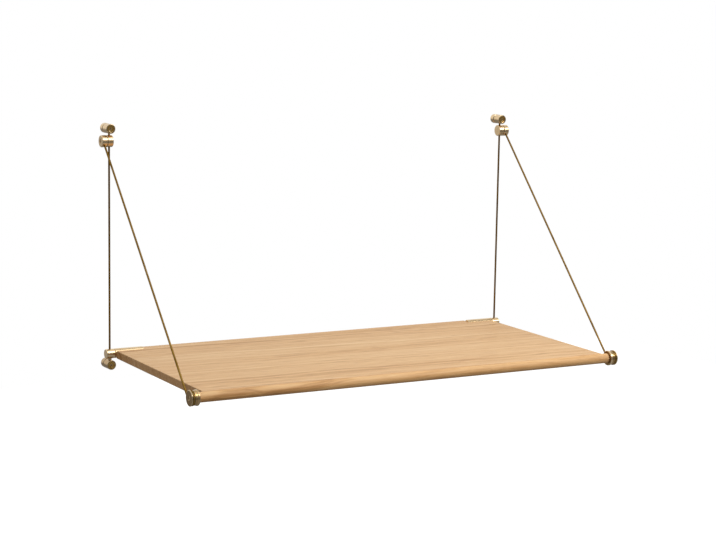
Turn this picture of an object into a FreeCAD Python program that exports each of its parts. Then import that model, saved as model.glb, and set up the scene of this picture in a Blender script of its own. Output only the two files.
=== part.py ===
import FreeCAD, Part
import os
import re

import Sketcher

# Wall-hung folding desk: an oak board that slides and turns on two vertical brass rods.
# Origin: centre of the four wall fixings, on the wall. +X along the board, +Y into the wall, +Z up.
# All lengths are in millimetres, and angles in degrees.

DRIVING_SIZES = [
    ("board_width", 902, "oak board, side to side"),
    ("board_thickness", 16, "oak board"),
    ("board_round", 1.5, "rounding of the board's long edges"),
    ("rear_overhang", 15.5, "hinge axis to the board's rear edge"),
    ("top_rise", 6, "hinge axis up to the board's top"),
    ("desk_reach", 436, "hinge axis to the front rail's axis"),
    ("rail_diameter", 20, "round front rail"),
    ("rail_ear", 12, "front rail past each side of the board"),
    ("rail_lip", 3, "board's front edge short of the rail's axis"),
    ("rod_diameter", 4, "guide rods and stay rods"),
    ("rod_gap", 12, "board's side to the guide rod's axis"),
    ("rod_seat", 5, "end of a rod past, or short of, the axis of its fitting"),
    ("wall_offset", 23, "wall to the guide rods' axes"),
    ("fixing_height", 480, "lower to upper wall fixing"),
    ("hinge_rise", 22, "lower fixing up to the hinge axis, desk open"),
    ("collar_drop", 25, "upper fixing down to the stay's pivot axis"),
    ("rosette_diameter", 20, "disc on the wall"),
    ("rosette_thickness", 11.5, "disc on the wall"),
    ("spigot_diameter", 13, "neck between rosette and rod holder"),
    ("spigot_depth", 6, "neck inside the rod holder"),
    ("bore_relief", 0.4, "end of that neck to the end of its bore"),
    ("wall_screw_hole", 5.2, "through each rosette"),
    ("wall_screw_seat", 9.6, "counterbore for the wall screw's head"),
    ("wall_screw_sink", 3.5, "depth of that counterbore"),
    ("holder_diameter", 19.6, "rod holder"),
    ("holder_front_length", 11, "rod holder in front of the rod's axis"),
    ("holder_back_length", 10, "rod holder behind the rod's axis"),
    ("face_recess_diameter", 13, "recess in the holder's front"),
    ("face_recess_depth", 2, "recess in the holder's front"),
    ("clamp_screw", 6, "grub screw on the guide rod"),
    ("lock_screw", 3, "grub screw on the spigot"),
    ("collar_diameter", 24, "upper barrel, both halves"),
    ("collar_length", 12, "fixed inner half of the upper barrel"),
    ("knuckle_length", 11.4, "swivel outer half of the upper barrel"),
    ("collar_screw", 4, "grub screw at the back of the collar"),
    ("pivot_screw", 6, "shoulder of the pivot screw"),
    ("insert_wall", 1.5, "threaded insert in the collar"),
    ("insert_depth", 3, "threaded insert in the collar"),
    ("washer_diameter", 16, "pivot washer"),
    ("washer_thickness", 0.4, "pivot washer"),
    ("pivot_gap", 0.1, "running gap at the pivot washer"),
    ("slider_diameter", 19.5, "slider barrel"),
    ("slider_length", 18, "slider barrel"),
    ("slider_bush_wall", 1.5, "bush on the guide rod"),
    ("sleeve_diameter", 8, "rest sleeve under the slider"),
    ("bar_diameter", 19.5, "hinge bar"),
    ("bar_length", 62.6, "hinge bar"),
    ("bar_flat", 1, "depth of the flat that lies against the board"),
    ("hinge_gap", 0.4, "slider to hinge bar, and hinge bar to the notch's end"),
    ("hinge_pin", 6, "pin between slider and hinge bar"),
    ("pin_reach", 24, "pin inside the hinge bar"),
    ("hinge_bush_wall", 1.5, "bush in the hinge bar"),
    ("bar_screw", 4, "wood screw through the hinge bar"),
    ("bar_screw_head", 7.6, "its head"),
    ("bar_screw_grip", 18, "its length in the board"),
    ("bar_screw_edge", 9, "first screw from the bar's inner end"),
    ("bar_screw_pitch", 17, "between the bar's screws"),
    ("spool_diameter", 31, "inner and outer discs of a spool"),
    ("flange_thickness", 4.6, "inner disc of a spool"),
    ("cap_thickness", 2.4, "outer disc of a spool"),
    ("core_diameter", 22.4, "spool core that the stay's eye turns on"),
    ("spacer_diameter", 29, "middle disc of a spool, beside the stay's eye"),
    ("spool_screw", 5, "screw through the spool into the rail"),
    ("spool_screw_grip", 25, "its length in the rail"),
    ("large_head", 9.6, "heads of the pivot and spool screws"),
    ("head_height", 2.6, "heads of all screws"),
    ("socket_depth", 1.8, "hexagon sockets"),
    ("eye_wrap", 300, "angle of the stay's eye round the spool"),
    ("eye_clearance", 0.1, "eye to core"),
    ("side_clearance", 0.4, "eye to the discs beside it"),
    ("running_clearance", 0.05, "turning and sliding fits, on the radius"),
    ("seat_clearance", 0.02, "fixed fits, on the radius"),
    ("edge_bevel", 0.8, "turned edges"),
]

# Places worked out from the sizes above
GUIDE_X = "(board_width / 2 + rod_gap)"
RAIL_END = "(board_width / 2 + rail_ear)"
STAY_STEP = "(collar_length / 2 + washer_thickness + pivot_gap + knuckle_length / 2)"
STAY_X = f"({GUIDE_X} + {STAY_STEP})"
ROD_Y = "(-wall_offset)"
RAIL_Y = "(-wall_offset - desk_reach)"
FIXING_Z = "(fixing_height / 2)"
COLLAR_Z = "(fixing_height / 2 - collar_drop)"
HINGE_Z = "(hinge_rise - fixing_height / 2)"
RAIL_DROP = "(rail_diameter / 2 - top_rise)"
RAIL_Z = f"({HINGE_Z} - {RAIL_DROP})"

# The stay: from the pivot axis straight down to a tangent of the eye, then round the spool
EYE_RADIUS = "(core_diameter / 2 + eye_clearance + rod_diameter / 2)"
STAY_FALL = f"({COLLAR_Z} - {RAIL_Z})"
STAY_SPAN = f"sqrt(desk_reach * desk_reach + {STAY_FALL} * {STAY_FALL})"
STAY_LENGTH = f"sqrt(desk_reach * desk_reach + {STAY_FALL} * {STAY_FALL} - {EYE_RADIUS} * {EYE_RADIUS})"
STAY_LEAN = f"(atan2(desk_reach; {STAY_FALL}) - asin({EYE_RADIUS} / {STAY_SPAN}))"

# The hinge and the spool, measured from the board's middle
SLIDER_BUSH_RADIUS = "(rod_diameter / 2 + running_clearance + slider_bush_wall)"
HINGE_BUSH_RADIUS = "(hinge_pin / 2 + running_clearance + hinge_bush_wall)"
BAR_OUTER_END = f"({GUIDE_X} - slider_length / 2 - hinge_gap)"
BAR_INNER_END = f"({BAR_OUTER_END} - bar_length)"
BAR_FACE = "(bar_diameter / 2 - bar_flat)"
GROOVE_HALF = "(rod_diameter / 2 + side_clearance)"
GROOVE_INNER = f"({STAY_X} - {GROOVE_HALF})"
GROOVE_OUTER = f"({STAY_X} + {GROOVE_HALF})"
SPOOL_END = f"({GROOVE_OUTER} + cap_thickness)"

# Flats on which a rest sleeve stands, measured from the barrel's axis
HOLDER_FLAT = "sqrt(holder_diameter * holder_diameter - sleeve_diameter * sleeve_diameter) / 2"
SLIDER_FLAT = "sqrt(slider_diameter * slider_diameter - sleeve_diameter * sleeve_diameter) / 2"

SIDES = {"left": -1, "right": 1}
LEVELS = {"lower": -1, "upper": 1}
NORMAL_PLANE = {"X": "YZ_Plane", "Y": "XZ_Plane", "Z": "XY_Plane"}
PLANE_SIGN = {"YZ_Plane": 1, "XZ_Plane": -1, "XY_Plane": 1}
SOCKET_SHARE = 0.55
SCREWS_PER_BAR = 2
SAME_PLACE = 1e-6
ALONG_X = FreeCAD.Placement(FreeCAD.Vector(), FreeCAD.Rotation(FreeCAD.Vector(0, 1, 0), 90))

doc = FreeCAD.newDocument("folding_desk")
sheet = doc.addObject("Spreadsheet::Sheet", "sizes")
for row, (alias, number, meaning) in enumerate(DRIVING_SIZES, start=1):
    sheet.set(f"A{row}", meaning)
    sheet.set(f"B{row}", str(number))
    sheet.setAlias(f"B{row}", alias)
doc.recompute()

nodes = []


def bind(expression):
    """Names the sheet in front of every size in an expression."""
    return re.sub(r"[a-z]+(?:_[a-z]+)+", lambda word: "sizes." + word.group(0), expression)


def value(expression):
    """Works an expression out as a number."""
    result = sheet.evalExpression(bind(expression))
    return float(getattr(result, "Value", result))


def keep(piece):
    """Adds a finished piece to those that are written."""
    nodes.append(piece)
    return piece


def place(piece, x="0", y="0", z="0", lean=None):
    """Binds a piece's place, and its lean about the X axis towards the room at the bottom."""
    if lean:
        turn = FreeCAD.Rotation(FreeCAD.Vector(-1, 0, 0), value(lean))
        piece.Placement = FreeCAD.Placement(FreeCAD.Vector(0, 0, 0), turn)
        piece.setExpression("Placement.Rotation.Angle", bind(lean))
    for axis, expression in zip("xyz", (x, y, z)):
        piece.setExpression(f"Placement.Base.{axis}", bind(expression))


def new_body(label):
    """Starts a body under its own label."""
    body = doc.addObject("PartDesign::Body", label)
    body.Label = label
    return body


def new_sketch(body, name, role, height="0"):
    """Makes a sketch on one of the body's origin planes, raised along that plane's normal."""
    sketch = body.newObject("Sketcher::SketchObject", name)
    plane = next(p for p in body.Origin.OriginFeatures if p.Role == role)
    sketch.AttachmentSupport = [(plane, "")]
    sketch.MapMode = "FlatFace"
    sketch.setExpression("AttachmentOffset.Base.z", bind(height))
    return sketch


def hold(sketch, kind, geometry, point, expression):
    """Ties a point's distance from the sketch's origin to an expression."""
    number = value(expression)
    index = sketch.addConstraint(Sketcher.Constraint(kind, -1, 1, geometry, point, number))
    sketch.setExpression(f"Constraints[{index}]", bind(expression))


def draw_outline(sketch, corners):
    """Draws a closed outline through corners given as pairs of expressions."""
    points = [FreeCAD.Vector(value(u), value(v), 0) for u, v in corners]
    count = len(points)
    for index, point in enumerate(points):
        sketch.addGeometry(Part.LineSegment(point, points[(index + 1) % count]))
    for index in range(count):
        sketch.addConstraint(Sketcher.Constraint("Coincident", index, 2, (index + 1) % count, 1))
    for index, (u, v) in enumerate(corners):
        hold(sketch, "DistanceX", index, 1, u)
        hold(sketch, "DistanceY", index, 1, v)


def draw_circle(sketch, u, v, diameter):
    """Draws a circle about a point given as a pair of expressions."""
    centre = FreeCAD.Vector(value(u), value(v), 0)
    circle = Part.Circle(centre, FreeCAD.Vector(0, 0, 1), value(diameter) / 2)
    geometry = sketch.addGeometry(circle)
    index = sketch.addConstraint(Sketcher.Constraint("Diameter", geometry, value(diameter)))
    sketch.setExpression(f"Constraints[{index}]", bind(diameter))
    hold(sketch, "DistanceX", geometry, 3, u)
    hold(sketch, "DistanceY", geometry, 3, v)


def revolve(body, axis, corners):
    """Turns an outline of (along, radius) corners about the body's X or Y axis."""
    sketch = new_sketch(body, body.Label + "_outline", "XY_Plane")
    along_x = axis == "X"
    draw_outline(sketch, corners if along_x else [(radius, along) for along, radius in corners])
    turning = body.newObject("PartDesign::Revolution", body.Label + "_turning")
    turning.Profile = sketch
    turning.ReferenceAxis = (sketch, ["H_Axis" if along_x else "V_Axis"])
    turning.Angle = 360
    doc.recompute()
    return body


def cut(body, sketch, name, backwards, depth=None):
    """Cuts a sketch into the body, against the sketch's normal, or along it if backwards."""
    before = body.Shape.Volume
    pocket = body.newObject("PartDesign::Pocket", name)
    pocket.Profile = sketch
    pocket.Reversed = backwards
    if depth is None:
        pocket.Type = "ThroughAll"
    else:
        pocket.setExpression("Length", bind(depth))
    doc.recompute()
    if body.Shape.Volume >= before:
        raise RuntimeError(f"{name} cuts nothing")


def drill(body, name, axis, heading, start, u, v, diameter, depth=None):
    """Drills a round hole along an axis: heading is +1 or -1, start is where it begins on the axis."""
    role = NORMAL_PLANE[axis]
    sketch = new_sketch(body, name + "_circle", role, f"{PLANE_SIGN[role]} * ({start})")
    draw_circle(sketch, u, v, diameter)
    cut(body, sketch, name, heading * PLANE_SIGN[role] > 0, depth)


def cut_socket(body, axis, outward, diameter):
    """Sinks a hexagon socket into the screw's driving end, which is at the body's origin."""
    role = NORMAL_PLANE[axis]
    sketch = new_sketch(body, body.Label + "_hexagon", role)
    corner = f"{SOCKET_SHARE} * {diameter} / 2"
    turns = [f"{60 * index} deg" for index in range(6)]
    draw_outline(sketch, [(f"{corner} * cos({turn})", f"{corner} * sin({turn})") for turn in turns])
    cut(body, sketch, body.Label + "_socket", outward * PLANE_SIGN[role] < 0, "socket_depth")


def make_screw(label, axis, outward, length, shank, head=None):
    """Makes a screw whose driving end is at the body's origin, facing outward along its axis."""
    body = new_body(label)
    shank_radius = f"({shank}) / 2"
    tip = f"{-outward} * ({length})"
    if head:
        under_head = f"{-outward} * head_height"
        top = [("0", f"{head} / 2"), (under_head, f"{head} / 2"), (under_head, shank_radius)]
    else:
        top = [("0", shank_radius)]
    revolve(body, "Y" if axis == "Y" else "X", [("0", "0")] + top + [(tip, shank_radius), (tip, "0")])
    cut_socket(body, axis, outward, head or shank)
    return body


def make_group(label, pieces):
    """Keeps like pieces together as one node of separate solids."""
    group = doc.addObject("Part::Compound", label)
    group.Label = label
    group.Links = pieces
    return keep(group)


def make_tube(label, outer_radius, inner_radius, length, axis, x, y, z):
    """Makes a plain tube that starts at a point and runs along +X or +Z."""
    parts = []
    for name, radius in (("outer", outer_radius), ("inner", inner_radius)):
        cylinder = doc.addObject("Part::Cylinder", f"{label}_{name}")
        cylinder.setExpression("Radius", bind(radius))
        cylinder.setExpression("Height", bind(length))
        if axis == "X":
            cylinder.Placement = ALONG_X
        place(cylinder, x, y, z)
        parts.append(cylinder)
    tube = doc.addObject("Part::Cut", label)
    tube.Label = label
    tube.Base, tube.Tool = parts
    return keep(tube)


def make_bar(label, radius, length, axis, x, y, z):
    """Makes a plain round bar that starts at a point and runs along +X or +Z."""
    bar = doc.addObject("Part::Cylinder", label)
    bar.Label = label
    bar.setExpression("Radius", bind(radius))
    bar.setExpression("Height", bind(length))
    if axis == "X":
        bar.Placement = ALONG_X
    place(bar, x, y, z)
    return keep(bar)


def start_of(side, inner, outer):
    """Gives the lower X of a span that runs from inner to outer on one side."""
    return inner if side > 0 else f"(-{outer})"


def make_rosette(label, side, level):
    """Turns a wall disc with its spigot and wall screw hole; its back lies on the wall."""
    neck_end = "(wall_offset - holder_back_length + spigot_depth)"
    hole = "wall_screw_hole / 2"
    seat = "wall_screw_seat / 2"
    rim = "rosette_diameter / 2"
    body = revolve(new_body(label), "Y", [
        ("0", hole),
        ("0", rim),
        ("edge_bevel - rosette_thickness", rim),
        ("-rosette_thickness", f"{rim} - edge_bevel"),
        ("-rosette_thickness", "spigot_diameter / 2"),
        (f"-{neck_end}", "spigot_diameter / 2"),
        (f"-{neck_end}", seat),
        (f"wall_screw_sink - {neck_end}", seat),
        (f"wall_screw_sink - {neck_end}", hole),
    ])
    place(body, f"{side} * {GUIDE_X}", "0", f"{level} * {FIXING_Z}")
    return keep(body)


def make_holder(label, side, level):
    """Turns a rod holder: a blind hole for the guide rod, a clamp screw in front, a spigot bore behind."""
    rim = "holder_diameter / 2"
    thread = "clamp_screw / 2 + seat_clearance"
    bore = "spigot_diameter / 2 + seat_clearance"
    bore_end = "(holder_back_length - spigot_depth - bore_relief)"
    body = revolve(new_body(label), "Y", [
        ("0", "0"),
        ("0", thread),
        ("face_recess_depth - holder_front_length", thread),
        ("face_recess_depth - holder_front_length", "face_recess_diameter / 2"),
        ("-holder_front_length", "face_recess_diameter / 2"),
        ("-holder_front_length", f"{rim} - edge_bevel"),
        ("edge_bevel - holder_front_length", rim),
        ("holder_back_length - edge_bevel", rim),
        ("holder_back_length", f"{rim} - edge_bevel"),
        ("holder_back_length", bore),
        (bore_end, bore),
        (bore_end, "0"),
    ])
    rod_hole = "rod_diameter + 2 * seat_clearance"
    lock_hole = "lock_screw + 2 * seat_clearance"
    lock_y = "holder_back_length - spigot_depth / 2"
    drill(body, label + "_rod_hole", "Z", -level, f"{level} * rod_seat", "0", "0", rod_hole)
    drill(body, label + "_lock_hole", "Z", level, "0", "0", lock_y, lock_hole)
    if level < 0:
        seat = "sleeve_diameter + 2 * seat_clearance"
        drill(body, label + "_sleeve_seat", "Z", 1, HOLDER_FLAT, "0", "0", seat)
    place(body, f"{side} * {GUIDE_X}", ROD_Y, f"{level} * {FIXING_Z}")
    return keep(body)


def make_clamp_screw(label, side, level):
    """Makes the grub screw in a holder's face, which presses on the guide rod."""
    length = "(holder_front_length - face_recess_depth - rod_diameter / 2)"
    body = make_screw(label, "Y", -1, length, "clamp_screw")
    face_y = f"{ROD_Y} + face_recess_depth - holder_front_length"
    place(body, f"{side} * {GUIDE_X}", face_y, f"{level} * {FIXING_Z}")
    return body


def make_lock_screw(label, side, level):
    """Makes the small grub screw that locks a holder on its spigot."""
    length = "(holder_diameter / 2 - edge_bevel - spigot_diameter / 2)"
    body = new_body(label)
    sketch = new_sketch(body, label + "_circle", "XY_Plane")
    draw_circle(sketch, "0", "0", "lock_screw")
    pad = body.newObject("PartDesign::Pad", label + "_stem")
    pad.Profile = sketch
    pad.Reversed = level > 0
    pad.setExpression("Length", bind(length))
    doc.recompute()
    cut_socket(body, "Z", level, "lock_screw")
    height = f"{level} * ({FIXING_Z} + spigot_diameter / 2 + {length})"
    place(body, f"{side} * {GUIDE_X}", f"{ROD_Y} + holder_back_length - spigot_depth / 2", height)
    return body


def make_collar(label, side):
    """Turns the fixed half of the upper barrel, clamped on the guide rod from behind."""
    rim = "collar_diameter / 2"
    half = "collar_length / 2"
    bore = "pivot_screw / 2 + insert_wall + seat_clearance"
    bore_end = f"({half} - insert_depth)"
    body = revolve(new_body(label), "X", [(f"{side} * ({along})", radius) for along, radius in [
        (f"-{half}", "0"),
        (f"-{half}", f"{rim} - edge_bevel"),
        (f"edge_bevel - {half}", rim),
        (f"{half} - edge_bevel", rim),
        (half, f"{rim} - edge_bevel"),
        (half, bore),
        (bore_end, bore),
        (bore_end, "0"),
    ]])
    drill(body, label + "_rod_hole", "Z", -1, rim, "0", "0", "rod_diameter + 2 * seat_clearance")
    drill(body, label + "_screw_hole", "Y", 1, "0", "0", "0", "collar_screw + 2 * seat_clearance")
    place(body, f"{side} * {GUIDE_X}", ROD_Y, COLLAR_Z)
    return keep(body)


def make_collar_screw(label, side):
    """Makes the grub screw that clamps a collar on its guide rod."""
    length = "(collar_diameter / 2 - 2 * edge_bevel - rod_diameter / 2)"
    body = make_screw(label, "Y", 1, length, "collar_screw")
    place(body, f"{side} * {GUIDE_X}", f"{ROD_Y} + rod_diameter / 2 + {length}", COLLAR_Z)
    return body


def make_slider(label, side):
    """Turns a slider barrel: a bushed hole for the guide rod and a bore for the hinge pin."""
    rim = "slider_diameter / 2"
    half = "slider_length / 2"
    bore = "hinge_pin / 2 + seat_clearance"
    body = revolve(new_body(label), "X", [(f"{side} * ({along})", radius) for along, radius in [
        (f"-{half}", bore),
        (f"-{half}", f"{rim} - edge_bevel"),
        (f"edge_bevel - {half}", rim),
        (f"{half} - edge_bevel", rim),
        (half, f"{rim} - edge_bevel"),
        (half, "0"),
        ("0", "0"),
        ("0", bore),
    ]])
    bush_hole = f"2 * {SLIDER_BUSH_RADIUS} + 2 * seat_clearance"
    drill(body, label + "_bush_hole", "Z", -1, rim, "0", "0", bush_hole)
    seat = "sleeve_diameter + 4 * seat_clearance"
    drill(body, label + "_sleeve_seat", "Z", -1, f"-{SLIDER_FLAT}", "0", "0", seat)
    place(body, f"{side} * {GUIDE_X}", ROD_Y, HINGE_Z)
    return keep(body)


def make_hinge_bar(label, side):
    """Turns a hinge bar, with a flat for the board, a bore for the bush and two screw holes."""
    rim = "bar_diameter / 2"
    bore = f"{HINGE_BUSH_RADIUS} + seat_clearance"
    bore_end = "(-pin_reach - edge_bevel)"
    body = revolve(new_body(label), "X", [(f"{side} * ({along})", radius) for along, radius in [
        ("0", bore),
        ("0", f"{rim} - edge_bevel"),
        ("-edge_bevel", rim),
        ("edge_bevel - bar_length", rim),
        ("-bar_length", f"{rim} - edge_bevel"),
        ("-bar_length", "0"),
        (bore_end, "0"),
        (bore_end, bore),
    ]])
    flat = new_sketch(body, label + "_flat_outline", "YZ_Plane", f"{side} * edge_bevel")
    draw_outline(flat, [
        (f"-{BAR_FACE}", f"-{rim}"),
        (f"-{BAR_FACE}", rim),
        (f"-{rim}", rim),
        (f"-{rim}", f"-{rim}"),
    ])
    cut(body, flat, label + "_flat", side < 0)
    for index in range(SCREWS_PER_BAR):
        x = f"{side} * (bar_screw_edge + {index} * bar_screw_pitch - bar_length)"
        name = f"{label}_screw_{index + 1}"
        drill(body, name + "_hole", "Y", -1, rim, x, "0", "bar_screw + 2 * seat_clearance")
        sink = f"{rim} - head_height - edge_bevel"
        drill(body, name + "_sink", "Y", 1, sink, x, "0", "bar_screw_head + 2 * seat_clearance")
    place(body, f"{side} * {BAR_OUTER_END}", ROD_Y, HINGE_Z)
    return keep(body)


def make_bar_screw(label, side, index):
    """Makes a wood screw from the back of a hinge bar into the board."""
    head_y = "(bar_diameter / 2 - edge_bevel)"
    length = f"{head_y} + {BAR_FACE} + bar_screw_grip"
    body = make_screw(label, "Y", 1, length, "bar_screw", "bar_screw_head")
    x = f"{side} * ({BAR_INNER_END} + bar_screw_edge + {index} * bar_screw_pitch)"
    place(body, x, f"{ROD_Y} + {head_y}", HINGE_Z)
    return body


def make_board(label):
    """Makes the oak board: notched for the hinge bars, coved in front for the rail, edges rounded."""
    body = new_body(label)
    side_x = "board_width / 2"
    notch_x = f"({BAR_INNER_END} - hinge_gap)"
    front_y = "(rail_lip - desk_reach)"
    right_half = [
        (side_x, front_y),
        (side_x, f"-{BAR_FACE}"),
        (notch_x, f"-{BAR_FACE}"),
        (notch_x, "rear_overhang"),
    ]
    left_half = [(f"-{x}", y) for x, y in reversed(right_half)]
    sketch = new_sketch(body, label + "_outline", "XY_Plane", "top_rise - board_thickness")
    draw_outline(sketch, right_half + left_half)
    slab = body.newObject("PartDesign::Pad", label + "_slab")
    slab.Profile = sketch
    slab.setExpression("Length", bind("board_thickness"))
    doc.recompute()
    drill(body, label + "_cove", "X", -1, side_x, "-desk_reach", f"-{RAIL_DROP}", "rail_diameter")
    pilot = "bar_screw + 2 * seat_clearance"
    for hand, side in SIDES.items():
        for index in range(SCREWS_PER_BAR):
            x = f"{side} * ({BAR_INNER_END} + bar_screw_edge + {index} * bar_screw_pitch)"
            name = f"{label}_{hand}_pilot_{index + 1}"
            drill(body, name, "Y", -1, f"-{BAR_FACE}", x, "0", pilot, "bar_screw_grip")
    round_long_edges(body, label)
    place(body, "0", ROD_Y, HINGE_Z)
    return keep(body)


def round_long_edges(body, label):
    """Rounds the board's upper and lower edges along both sides and the back."""
    solid = body.Tip
    half_width = value("board_width / 2")
    back = value("rear_overhang")
    faces_z = (value("top_rise"), value("top_rise - board_thickness"))
    chosen = []
    for number, edge in enumerate(solid.Shape.Edges, start=1):
        box = edge.BoundBox
        level = any(max(abs(box.ZMin - z), abs(box.ZMax - z)) < SAME_PLACE for z in faces_z)
        on_side = max(box.XLength, abs(abs(box.XMin) - half_width)) < SAME_PLACE
        on_back = max(box.YLength, abs(box.YMin - back)) < SAME_PLACE
        if level and (on_side or on_back):
            chosen.append(f"Edge{number}")
    fillet = body.newObject("PartDesign::Fillet", label + "_rounding")
    fillet.Base = (solid, chosen)
    fillet.setExpression("Radius", bind("board_round"))
    doc.recompute()


def make_rail(label):
    """Turns the round front rail, drilled at both ends for the spool screws."""
    rim = "rail_diameter / 2"
    pilot = "spool_screw / 2 + seat_clearance"
    right_half = [
        (f"{RAIL_END} - spool_screw_grip", "0"),
        (f"{RAIL_END} - spool_screw_grip", pilot),
        (RAIL_END, pilot),
        (RAIL_END, f"{rim} - edge_bevel"),
        (f"{RAIL_END} - edge_bevel", rim),
    ]
    left_half = [(f"-({along})", radius) for along, radius in reversed(right_half)]
    body = revolve(new_body(label), "X", right_half + left_half)
    place(body, "0", RAIL_Y, RAIL_Z)
    return keep(body)


def make_flange(label, side):
    """Turns the inner disc of a spool, which bears on the end of the rail."""
    rim = "spool_diameter / 2"
    hole = "spool_screw / 2 + seat_clearance"
    body = revolve(new_body(label), "X", [(f"{side} * ({along})", radius) for along, radius in [
        ("0", hole),
        ("0", f"{rim} - edge_bevel"),
        ("edge_bevel", rim),
        ("flange_thickness - edge_bevel", rim),
        ("flange_thickness", f"{rim} - edge_bevel"),
        ("flange_thickness", hole),
    ]])
    place(body, f"{side} * {RAIL_END}", RAIL_Y, RAIL_Z)
    return keep(body)


def make_hub(label, side):
    """Turns the outer disc of a spool with the core that the stay's eye turns on."""
    rim = "spool_diameter / 2"
    core = "core_diameter / 2"
    hole = "spool_screw / 2 + seat_clearance"
    sink = "large_head / 2 + seat_clearance"
    end = f"({GROOVE_HALF} + cap_thickness)"
    body = revolve(new_body(label), "X", [(f"{side} * ({along})", radius) for along, radius in [
        (f"-{GROOVE_HALF}", hole),
        (f"-{GROOVE_HALF}", core),
        (GROOVE_HALF, core),
        (GROOVE_HALF, f"{rim} - edge_bevel"),
        (f"{GROOVE_HALF} + edge_bevel", rim),
        (f"{end} - edge_bevel", rim),
        (end, f"{rim} - edge_bevel"),
        (end, sink),
        (f"{end} - head_height - edge_bevel", sink),
        (f"{end} - head_height - edge_bevel", hole),
    ]])
    place(body, f"{side} * {STAY_X}", RAIL_Y, RAIL_Z)
    return keep(body)


def make_spool_screw(label, side):
    """Makes the screw that holds a spool on the end of the rail."""
    length = f"({SPOOL_END} - edge_bevel - {RAIL_END} + spool_screw_grip)"
    body = make_screw(label, "X", side, length, "spool_screw", "large_head")
    place(body, f"{side} * ({SPOOL_END} - edge_bevel)", RAIL_Y, RAIL_Z)
    return keep(body)


def make_stay_rod(label, side):
    """Bends a stay rod: a straight run up to the knuckle, and an eye round the spool's core."""
    body = new_body(label)
    sketch = new_sketch(body, label + "_section", "XY_Plane")
    draw_circle(sketch, "0", EYE_RADIUS, "rod_diameter")
    run = body.newObject("PartDesign::Pad", label + "_run")
    run.Profile = sketch
    run.setExpression("Length", bind(f"{STAY_LENGTH} - rod_seat"))
    doc.recompute()
    eye = body.newObject("PartDesign::Revolution", label + "_eye")
    eye.Profile = sketch
    eye.ReferenceAxis = (sketch, ["H_Axis"])
    eye.Reversed = True
    eye.setExpression("Angle", bind("eye_wrap"))
    doc.recompute()
    place(body, f"{side} * {STAY_X}", RAIL_Y, RAIL_Z, STAY_LEAN)
    return keep(body)


def make_knuckle(label, side):
    """Turns the swivel half of the upper barrel, drilled for the stay rod and the pivot screw."""
    rim = "collar_diameter / 2"
    half = "knuckle_length / 2"
    hole = "pivot_screw / 2 + seat_clearance"
    sink = "large_head / 2 + seat_clearance"
    seat = f"({half} - head_height - edge_bevel)"
    body = revolve(new_body(label), "X", [(f"{side} * ({along})", radius) for along, radius in [
        (f"-{half}", hole),
        (f"-{half}", f"{rim} - edge_bevel"),
        (f"edge_bevel - {half}", rim),
        (f"{half} - edge_bevel", rim),
        (half, f"{rim} - edge_bevel"),
        (half, sink),
        (seat, sink),
        (seat, hole),
    ]])
    drill(body, label + "_rod_hole", "Z", -1, "-rod_seat", "0", "0", "rod_diameter + 2 * seat_clearance")
    place(body, f"{side} * {STAY_X}", ROD_Y, COLLAR_Z, STAY_LEAN)
    return keep(body)


def make_pivot_screw(label, side):
    """Makes the pivot screw, as far as the face of the pivot washer."""
    length = "(knuckle_length - edge_bevel + washer_thickness)"
    body = make_screw(label, "X", side, length, "pivot_screw", "large_head")
    place(body, f"{side} * ({STAY_X} + knuckle_length / 2 - edge_bevel)", ROD_Y, COLLAR_Z)
    return keep(body)


def make_wall_frame():
    """Makes the pieces that stay on the wall."""
    clamp_screws = []
    lock_screws = []
    for height, level in LEVELS.items():
        for hand, side in SIDES.items():
            make_rosette(f"{height}_{hand}_rosette", side, level)
            make_holder(f"{height}_{hand}_rod_holder", side, level)
            clamp_screws.append(make_clamp_screw(f"{height}_{hand}_clamp_screw", side, level))
            lock_screws.append(make_lock_screw(f"{height}_{hand}_lock_screw", side, level))
    make_group("holder_clamp_screws", clamp_screws)
    make_group("spigot_lock_screws", lock_screws)
    rod_length = "fixing_height + 2 * rod_seat"
    rod_foot = f"-{FIXING_Z} - rod_seat"
    insert_radius = "pivot_screw / 2 + insert_wall"
    sleeve_foot = f"{HOLDER_FLAT} - {FIXING_Z}"
    sleeve_height = f"hinge_rise - {HOLDER_FLAT} - {SLIDER_FLAT}"
    sleeve_bore = "rod_diameter / 2 + running_clearance"
    collar_screws = []
    for hand, side in SIDES.items():
        x = f"{side} * {GUIDE_X}"
        make_bar(f"{hand}_guide_rod", "rod_diameter / 2", rod_length, "Z", x, ROD_Y, rod_foot)
        sleeve = f"{hand}_rest_sleeve"
        make_tube(sleeve, "sleeve_diameter / 2", sleeve_bore, sleeve_height, "Z", x, ROD_Y, sleeve_foot)
        make_collar(f"{hand}_upper_collar", side)
        face = f"({GUIDE_X} + collar_length / 2)"
        insert_x = start_of(side, f"({face} - insert_depth)", face)
        insert = f"{hand}_pivot_insert"
        make_tube(insert, insert_radius, "pivot_screw / 2", "insert_depth", "X", insert_x, ROD_Y, COLLAR_Z)
        collar_screws.append(make_collar_screw(f"{hand}_collar_screw", side))
    make_group("collar_clamp_screws", collar_screws)


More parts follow.
